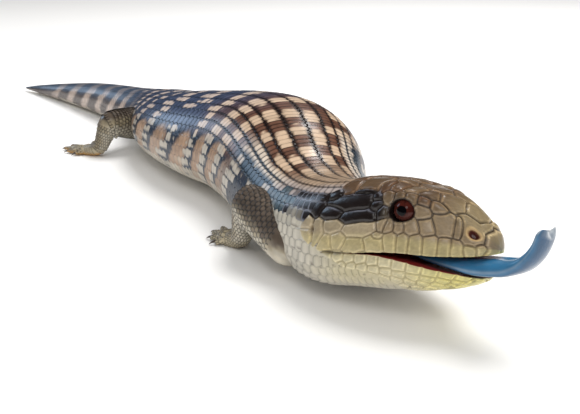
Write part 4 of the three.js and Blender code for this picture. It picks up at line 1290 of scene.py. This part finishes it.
def body_scales():
    """Scales in rows along the body, closing up where rows end toward the tail."""
    step_at = table(SCALE_STEP)
    stations = [COAT_FIRST]
    while stations[-1] < LENGTH - 1.5:
        stations.append(stations[-1] + step_at(stations[-1])[0])
    stations = np.array(stations)
    s_fine = SIDE_STEPS[::2]
    rows = {k: [] for k in ("u", "t", "next_u", "next_t", "wide", "row")}
    number = np.arange(ROWS)
    ends = np.array([ROW_ENDS.get(j, 2 * LENGTH) for j in number], float)

    def places(u):
        weight = (1 - smoothstep(ends - ROW_CLOSES, ends, u)) * ROW_WIDTH
        centre = (np.cumsum(weight) - weight / 2) / weight.sum()
        centre[0] = 0
        p = skin_at(np.full(s_fine.shape, u), s_fine)
        arc = arc_length(p)
        wide = arc[-1] * weight / weight.sum()
        wide[0] *= 2
        return np.interp(centre * arc[-1], arc, s_fine), weight, wide

    for start, step in zip(stations, np.diff(stations)):
        for odd in (0, 1):
            u = start + odd * step / 2
            next_u = min(u + step, LENGTH)
            s, weight, wide = places(u)
            s_next = places(next_u)[0]
            fits = (weight > NARROWEST) & (u > coat_start_at(s)[:, 0] - COAT_LAP)
            for sign in (1, -1):
                keep = (number % 2 == odd) & fits
                keep[0] &= sign == 1
                t, t_next = (s, s_next) if sign == 1 else (16 - s, 16 - s_next)
                scales = {"u": u + 0 * s, "next_u": next_u + 0 * s, "t": t, "next_t": t_next,
                          "wide": wide, "row": number * sign}
                for key, values in scales.items():
                    rows[key].append(values[keep])
    return {k: np.concatenate(v) for k, v in rows.items()}


def body_rows():
    """The body's scales as rows for build_scales."""
    found = body_scales()
    u, t = found["u"], found["t"]
    root, ahead = skin_at(u, t), skin_at(found["next_u"], found["next_t"])
    out = out_at(u, t)
    depth = np.minimum(SKIN_DEPTH["body"], 0.4 * girth_at(u)[..., 2])
    step = np.linalg.norm(ahead - root, axis=1)
    size = np.clip(step / 3, 0.35, 1.1)
    beside = skin_at(u, t - 0.4), skin_at(u, t + 0.4)
    sag = ((root - (beside[0] + beside[1]) / 2) * out).sum(1)
    half = np.linalg.norm(beside[0] - beside[1], axis=1) / 2
    return {
        "root": root - out * depth[:, None], "lie": ahead - root, "out": out,
        "long": step * SCALE["overlap"], "wide": found["wide"] * SCALE["wide"], "size": size,
        "bend": half ** 2 / (2 * np.maximum(sag, 0.01)), "mm_per_t": half / 0.4,
        "u_per_mm": (found["next_u"] - u) / step, "row": found["row"],
        "middle": np.minimum(u + 0.4 * (found["next_u"] - u), LENGTH),
        "tone": RANDOM.uniform(0.9, 1.08, len(u)), "uv": unwrap(u, t), "u": u, "t": t,
    }


def some_rows(rows, keep):
    return {k: v[keep] for k, v in rows.items()}


# Scales on the legs and on the digits: how many go round, the step along, and the least upward
# part of the direction they face. The digits' undersides have none.
LEG_SCALES = {"around": 22, "step": 1.55, "lowest": -1.1}
DIGIT_SCALES = {"around": 8, "step": 1.15, "lowest": -0.3}
SOLE_CLEAR = 0.0004


def scales_round(skin_tree, path, radius, kind, strip, start, span):
    """Scales found by looking outward from a limb's middle line to the skin."""
    along, a, b = across_frames(path)
    arc = arc_length(path)
    around, step = kind["around"], kind["step"]
    count = max(int(arc[-1] / step), 1)
    found = []
    for k in range(count):
        at = (k + 0.5) / count * arc[-1]
        i = min(np.searchsorted(arc, at), len(path) - 1)
        centre = Vector(to_metres([np.interp(at, arc, path[:, c]) for c in range(3)]))
        ray = np.interp(at, arc, radius) * 1.5 * MM
        for j in range(around):
            angle = (j + 0.5 * (k % 2)) / around * 2 * math.pi
            direction = a[i] * math.cos(angle) + b[i] * math.sin(angle)
            if direction[2] < kind["lowest"]:
                continue
            hit, normal, _, distance = skin_tree.ray_cast(centre, Vector(direction), ray)
            if hit is None or hit[2] < SOLE_CLEAR:
                continue
            wide = 2 * math.pi * max(distance / MM, 0.5) / around
            found.append({
                "root": np.array(hit) / MM - OFFSET, "out": np.array(normal), "lie": along[i],
                "long": step * 1.75, "wide": wide * 1.2, "size": min(wide / 3.6, 0.75),
                "bend": max(distance / MM, 0.8),
                "uv": (start + span * at / arc[-1], strip + STRIP_STEP * 0.45 * angle / math.pi),
            })
    return found


def leg_rows(skin_tree, legs):
    """The scales of some of the legs and their digits as rows for build_scales."""
    found = []
    for k, (name, leg) in enumerate(LEGS.items()):
        if name not in legs:
            continue
        strip = STRIP_START + STRIP_STEP * k
        found += scales_round(skin_tree, *leg_path(leg), LEG_SCALES, strip, 0.02, 0.3)
        for n, tip in enumerate(leg["digits"]):
            digit, thick, _ = digit_path(leg, tip)
            found += scales_round(skin_tree, digit[2:], thick[2:], DIGIT_SCALES, strip,
                                  0.34 + 0.025 * n, 0.02)
    rows = {key: np.array([scale[key] for scale in found]) for key in found[0]}
    tone = RANDOM.uniform(0.85, 1.12, (len(found), 1))
    rows["colour"] = leg_colour(rows["root"], rows["out"]) * tone
    rows["root"] = rows["root"] - rows["out"] * 0.1
    return rows


# Claws: length, how far they start inside the digit, height of the root, arch, drop to the tip,
# and radius at the root and the tip.
CLAW = {"long": 4.6, "sunk": 0.8, "high": 1.5, "arch": 0.5, "drop": 1.55, "root": 0.78, "tip": 0.06}


def build_claws(material):
    """A curved claw at the end of every digit."""
    parts = []
    for leg in LEGS.values():
        for tip in leg["digits"]:
            digit, _, direction = digit_path(leg, tip)
            share = np.linspace(0, 1, 9)
            path = digit[-1] + direction * (share * CLAW["long"] - CLAW["sunk"])[:, None]
            path[:, 2] = CLAW["high"] + CLAW["arch"] * np.sin(share * 2.2) - CLAW["drop"] * share ** 2.2
            radius = CLAW["root"] * (1 - share) ** 0.75 + CLAW["tip"]
            path[:, 2] = np.maximum(path[:, 2], radius + 0.02)
            parts.append(rounded_tube(path, radius, 12))
    return make_mesh("claws", *join_parts(parts), material)


# Tongue
TONGUE_RINGS = 90
TONGUE_AROUND = 40


def build_tongue(material):
    """A flat tongue with a groove along it, a notched tip and drooping sides."""
    rows = np.array(TONGUE, float)
    arc = arc_length(rows[:, :2])
    length = arc[-1]
    along = np.linspace(0, length, TONGUE_RINGS)[:, None]
    u, z, half, thick, droop = (table(np.column_stack([arc, rows]))(along[:, 0])[:, k, None]
                                for k in range(5))
    slope = unit(np.concatenate([np.gradient(u, axis=0), np.gradient(z, axis=0)], 1))
    slope_u, slope_z = slope[:, :1], slope[:, 1:]
    end = np.minimum(along, length - along)
    taper = np.sqrt(1 - (1 - np.clip(end / 2.2, 0.02, 1)) ** 2)
    angle = np.arange(TONGUE_AROUND) / TONGUE_AROUND * 2 * math.pi
    c, s = np.cos(angle)[None], np.sin(angle)[None]
    y = np.sign(c) * np.abs(c) ** 0.8 * half * (0.75 + 0.25 * taper)
    middle = np.exp(-(y / (0.4 * half)) ** 2)
    groove = (0.25 + 0.5 * smoothstep(2, -8, u)) * thick * middle * (s > 0) * taper
    h = np.sign(s) * np.abs(s) ** 0.75 * thick * taper - groove - droop * (y / half) ** 2
    back = smoothstep(length - 4, length, along) * 1.6 * middle
    rings = local(u + h * slope_z - back * slope_u, y, z - h * slope_u - back * slope_z)
    obj = make_mesh("tongue_blue", *closed_tube(rings), material)
    # Painted shade: the underside is darker blue than the top.
    colour = mix(TONGUE_BLUE, TONGUE_UNDER_SHADE, smoothstep(0, -0.7, s + 0 * along))
    # Painted highlight: pale patches at the tip and a thin pale line along the tongue's edges.
    pale = smoothstep(length - 2.2, length - 0.8, along) * noise(c * 3, s * 3)
    rim = 0.25 * np.exp(-(s / 0.1) ** 2) * smoothstep(0, 12, along)
    colour = mix(colour, TONGUE_HIGHLIGHT, np.maximum(pale, rim)).reshape(-1, 3)
    paint(obj.data, np.concatenate([colour, [TONGUE_BLUE, TONGUE_HIGHLIGHT]]))
    return obj


# Eyes
IRIS = 3.3
PUPIL = 1.4
IRIS_DARK = srgb(48, 19, 16)
IRIS_LIGHT = srgb(76, 32, 25)
IRIS_LOW = srgb(100, 60, 54)
PUPIL_BLACK = srgb(8, 7, 9)
EYE_RIM = srgb(40, 20, 18)
EYE_AROUND = 64
GAZE = {"up": 0.04, "forward": 0.2}
CORNEA = 0.45


def build_eye(name, sign, material):
    """An eyeball with a slight corneal bulge, its pupil, iris and dark rim set by rings."""
    u, y, z = EYE["at"]
    centre = local(u, sign * y, z)
    _, forward, left, up = frame_at(0.0)
    axis = unit(left * sign + up * GAZE["up"] + forward * GAZE["forward"])
    a = unit(np.cross(up, axis))
    b = np.cross(axis, a)
    ring = np.radians(np.concatenate([np.linspace(1, 62, 56), np.linspace(66, 179, 22)]))
    angle = np.arange(EYE_AROUND) / EYE_AROUND * 2 * math.pi
    r = EYE["radius"] + CORNEA * smoothstep(math.radians(56), math.radians(10), ring)
    circle = a * np.cos(angle)[:, None] + b * np.sin(angle)[:, None]
    points = (centre + axis * (r * np.cos(ring))[:, None, None]
              + circle[None] * (r * np.sin(ring))[:, None, None])
    obj = make_mesh(name, *closed_tube(points), material)
    off = (r * np.sin(ring))[:, None] + 0 * angle
    front = (ring < math.pi / 2)[:, None]
    fibre = noise(angle[None] * 9 + 0 * off, off * 1.2)
    low = np.sin(angle)[None] < -0.1
    iris = mix(IRIS_DARK, IRIS_LIGHT, fibre)
    iris = mix(iris, IRIS_LOW, 0.5 * low * smoothstep(1.6, 2.4, off))
    colour = mix(iris, PUPIL_BLACK, smoothstep(PUPIL + 0.14, PUPIL, off))
    colour = mix(colour, EYE_RIM, smoothstep(IRIS - 0.5, IRIS, off))
    colour = np.where(front[..., None], colour, EYE_RIM)
    paint(obj.data, np.concatenate([colour.reshape(-1, 3), [PUPIL_BLACK, EYE_RIM]]))
    return obj


# Materials
def add_noise(nodes, links, place, scale, detail):
    grain = nodes.new("ShaderNodeTexNoise")
    grain.inputs["Scale"].default_value = scale
    grain.inputs["Detail"].default_value = detail
    links.new(place.outputs["Object"], grain.inputs["Vector"])
    return grain.outputs["Fac"]


def add_range(nodes, links, value, low, high):
    level = nodes.new("ShaderNodeMapRange")
    level.inputs["To Min"].default_value = low
    level.inputs["To Max"].default_value = high
    links.new(value, level.inputs["Value"])
    return level.outputs["Result"]


def node_material(name, roughness, coat, bumps, tint_spread=0.12, specular=0.5, base=None):
    """A glossy skin: its painted colour or one base colour, broken up by noise, with fine bumps
    given by scale, strength and height."""
    material = bpy.data.materials.new(name)
    material.use_nodes = True
    nodes, links = material.node_tree.nodes, material.node_tree.links
    shader = nodes["Principled BSDF"]
    shader.inputs["Coat Weight"].default_value = coat[0]
    shader.inputs["Coat Roughness"].default_value = coat[1]
    shader.inputs["Specular IOR Level"].default_value = specular
    place = nodes.new("ShaderNodeTexCoord")
    spots = add_noise(nodes, links, place, 420, 5)
    blend = nodes.new("ShaderNodeMix")
    blend.data_type = "RGBA"
    blend.blend_type = "MULTIPLY"
    blend.inputs["Factor"].default_value = 1
    if base is None:
        colour = nodes.new("ShaderNodeAttribute")
        colour.attribute_name = "tint"
        links.new(colour.outputs["Color"], blend.inputs["A"])
    else:
        blend.inputs["A"].default_value = (*base, 1)
    spread = add_range(nodes, links, spots, 1 - tint_spread, 1 + tint_spread)
    links.new(spread, blend.inputs["B"])
    links.new(blend.outputs["Result"], shader.inputs["Base Color"])
    links.new(add_range(nodes, links, spots, *roughness), shader.inputs["Roughness"])
    target = shader.inputs["Normal"]
    for scale, strength, height in reversed(bumps):
        bump = nodes.new("ShaderNodeBump")
        bump.inputs["Strength"].default_value = strength
        bump.inputs["Distance"].default_value = height
        links.new(add_noise(nodes, links, place, scale, 3), bump.inputs["Height"])
        links.new(bump.outputs["Normal"], target)
        target = bump.inputs["Normal"]
    return material


def make_materials():
    return {
        "skin": node_material("head_skin", (0.26, 0.42), (0.1, 0.15),
                              [(900, 0.35, 0.0002), (2600, 0.3, 0.0001)], tint_spread=0.2),
        "mouth": node_material("mouth_lining", (0.4, 0.6), (0.1, 0.2), [(700, 0.4, 0.0003)],
                               base=srgb(140, 44, 38)),
        "scales": node_material("scale_horn", (0.24, 0.36), (0.08, 0.18), [(1500, 0.25, 0.0001)],
                                specular=0.4),
        "limb": node_material("limb_scale_horn", (0.42, 0.56), (0.05, 0.3),
                              [(1800, 0.25, 0.0001)]),
        "tongue": node_material("tongue_wet", (0.24, 0.4), (0.5, 0.12),
                                [(1100, 0.5, 0.0002), (400, 0.3, 0.0004)], tint_spread=0.2),
        "eye": node_material("eye_wet", (0.04, 0.08), (0.0, 0.03), [(1500, 0.05, 0.00005)],
                             tint_spread=0.2, specular=0.15),
        "claw": node_material("claw_horn", (0.3, 0.45), (0.2, 0.2), [(2200, 0.3, 0.0001)],
                              base=srgb(70, 56, 44)),
    }


# Camera, floor and light
CAMERA = {"at": (113.16, -143.76, 107.5), "look": (-0.8387, 0.5446), "down": 0.368, "lens": 42.2}
FLOOR_HALF = 3.0


def build_camera():
    data = bpy.data.cameras.new("camera")
    data.lens = CAMERA["lens"]
    data.sensor_width = 36
    data.clip_start = 0.01
    camera = bpy.data.objects.new("camera", data)
    bpy.context.scene.collection.objects.link(camera)
    camera.location = to_metres(CAMERA["at"])
    x, y = CAMERA["look"]
    down = CAMERA["down"]
    look = Vector((x * math.cos(down), y * math.cos(down), -math.sin(down)))
    camera.rotation_euler = look.to_track_quat("-Z", "Y").to_euler()
    bpy.context.scene.camera = camera


def build_floor():
    corners = np.array([[-1, -1, 0], [-1, 1, 0], [1, -1, 0], [1, 1, 0]]) * FLOOR_HALF / MM
    material = bpy.data.materials.new("pale_floor")
    material.use_nodes = True
    shader = material.node_tree.nodes["Principled BSDF"]
    shader.inputs["Base Color"].default_value = (0.98, 0.975, 0.965, 1)
    shader.inputs["Roughness"].default_value = 0.75
    floor = make_mesh("floor", corners, [np.array([[0, 2, 3, 1]])], material)


# "lights" says which kind of light each lamp gives, so that the sheen lies where it should.
LIGHTS = [
    {"name": "key", "at": (0.0, 0.55, 1.2), "size": 1.0, "power": 17, "colour": (1, 0.99, 0.975),
     "lights": "diffuse"},
    {"name": "fill", "at": (0.7, -0.35, 0.8), "size": 0.4, "power": 2, "colour": (1, 0.99, 0.97),
     "lights": "both"},
    {"name": "sheen", "at": (-0.8, -0.4, 0.55), "size": 0.5, "power": 3, "colour": (0.6, 0.78, 1),
     "lights": "glossy"},
    {"name": "glint", "at": (-0.38, 0.55, 0.75), "size": 0.16, "power": 1.2, "colour": (1, 1, 1),
     "lights": "glossy"},
]


def build_lights():
    for light in LIGHTS:
        data = bpy.data.lights.new(light["name"], "AREA")
        data.shape = "DISK"
        data.size = light["size"]
        data.energy = light["power"]
        data.color = light["colour"]
        lamp = bpy.data.objects.new(light["name"], data)
        bpy.context.scene.collection.objects.link(lamp)
        lamp.visible_glossy = light["lights"] != "diffuse"
        lamp.visible_diffuse = light["lights"] != "glossy"
        lamp.location = light["at"]
        aim = Vector((0.05, 0, 0)) - Vector(light["at"])
        lamp.rotation_euler = aim.to_track_quat("-Z", "Y").to_euler()
    world = bpy.data.worlds.new("studio")
    bpy.context.scene.world = world
    world.cycles_visibility.glossy = False
    world.use_nodes = True
    background = world.node_tree.nodes["Background"]
    background.inputs["Color"].default_value = (1, 1, 1, 1)
    background.inputs["Strength"].default_value = 0.55
    view = bpy.context.scene.view_settings
    view.view_transform = "Standard"
    view.look = "None"


# The body's coat in lengths: from and to behind the snout, and its material slot.
COATS = [("scales_neck", 0, 86, "body_skin"), ("scales_shoulder", 86, 128, "body_skin"),
         ("scales_trunk", 128, 176, "body_skin"), ("scales_loin", 176, 235, "body_skin"),
         ("scales_tail_base", 235, 330, "tail_skin"), ("scales_tail", 330, LENGTH, "tail_skin")]
LEG_COATS = [("scales_front_legs", ("front_right", "front_left")),
             ("scales_hind_legs", ("hind_right", "hind_left"))]
LEG_PLAN = ([0, 0.5, 0.8, 0.93, 1], [-1, -0.35, 0.35, 1])


def build_skink():
    """Builds every piece, says what each one rides on, and hides the nodes of the model that the pieces
    stand in for.
    """
    materials = make_materials()
    flesh = [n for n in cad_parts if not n.startswith(("eye", "tongue"))]
    skin = build_skin(materials["skin"], materials["mouth"])
    tree = BVHTree.FromObject(skin, bpy.context.evaluated_depsgraph_get())
    pieces = [(skin, "head_skin")]
    rows = body_rows()
    for name, start, end, slot in COATS:
        chosen = some_rows(rows, (rows["u"] >= start) & (rows["u"] < end))
        pieces.append((build_scales(name, chosen, body_look, materials["scales"]), slot))
    for name, legs in LEG_COATS:
        chosen = leg_rows(tree, legs)
        coat = build_scales(name, chosen, leg_look, materials["limb"], LEG_PLAN)
        pieces.append((coat, "limb_skin"))
    tongue = build_tongue(materials["tongue"])
    eyes = [build_eye("eyeball_right", -1, materials["eye"]),
            build_eye("eyeball_left", 1, materials["eye"])]
    claws = build_claws(materials["claw"])
    pieces += [(tongue, "tongue"), (eyes[0], "eye"), (eyes[1], "eye"), (claws, "foot_skin")]
    for obj, slot in pieces:
        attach(obj, "root")
    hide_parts(*flesh)
    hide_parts("tongue")
    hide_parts("eye_right")
    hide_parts("eye_left")


build_camera()
build_floor()
build_lights()
build_skink()
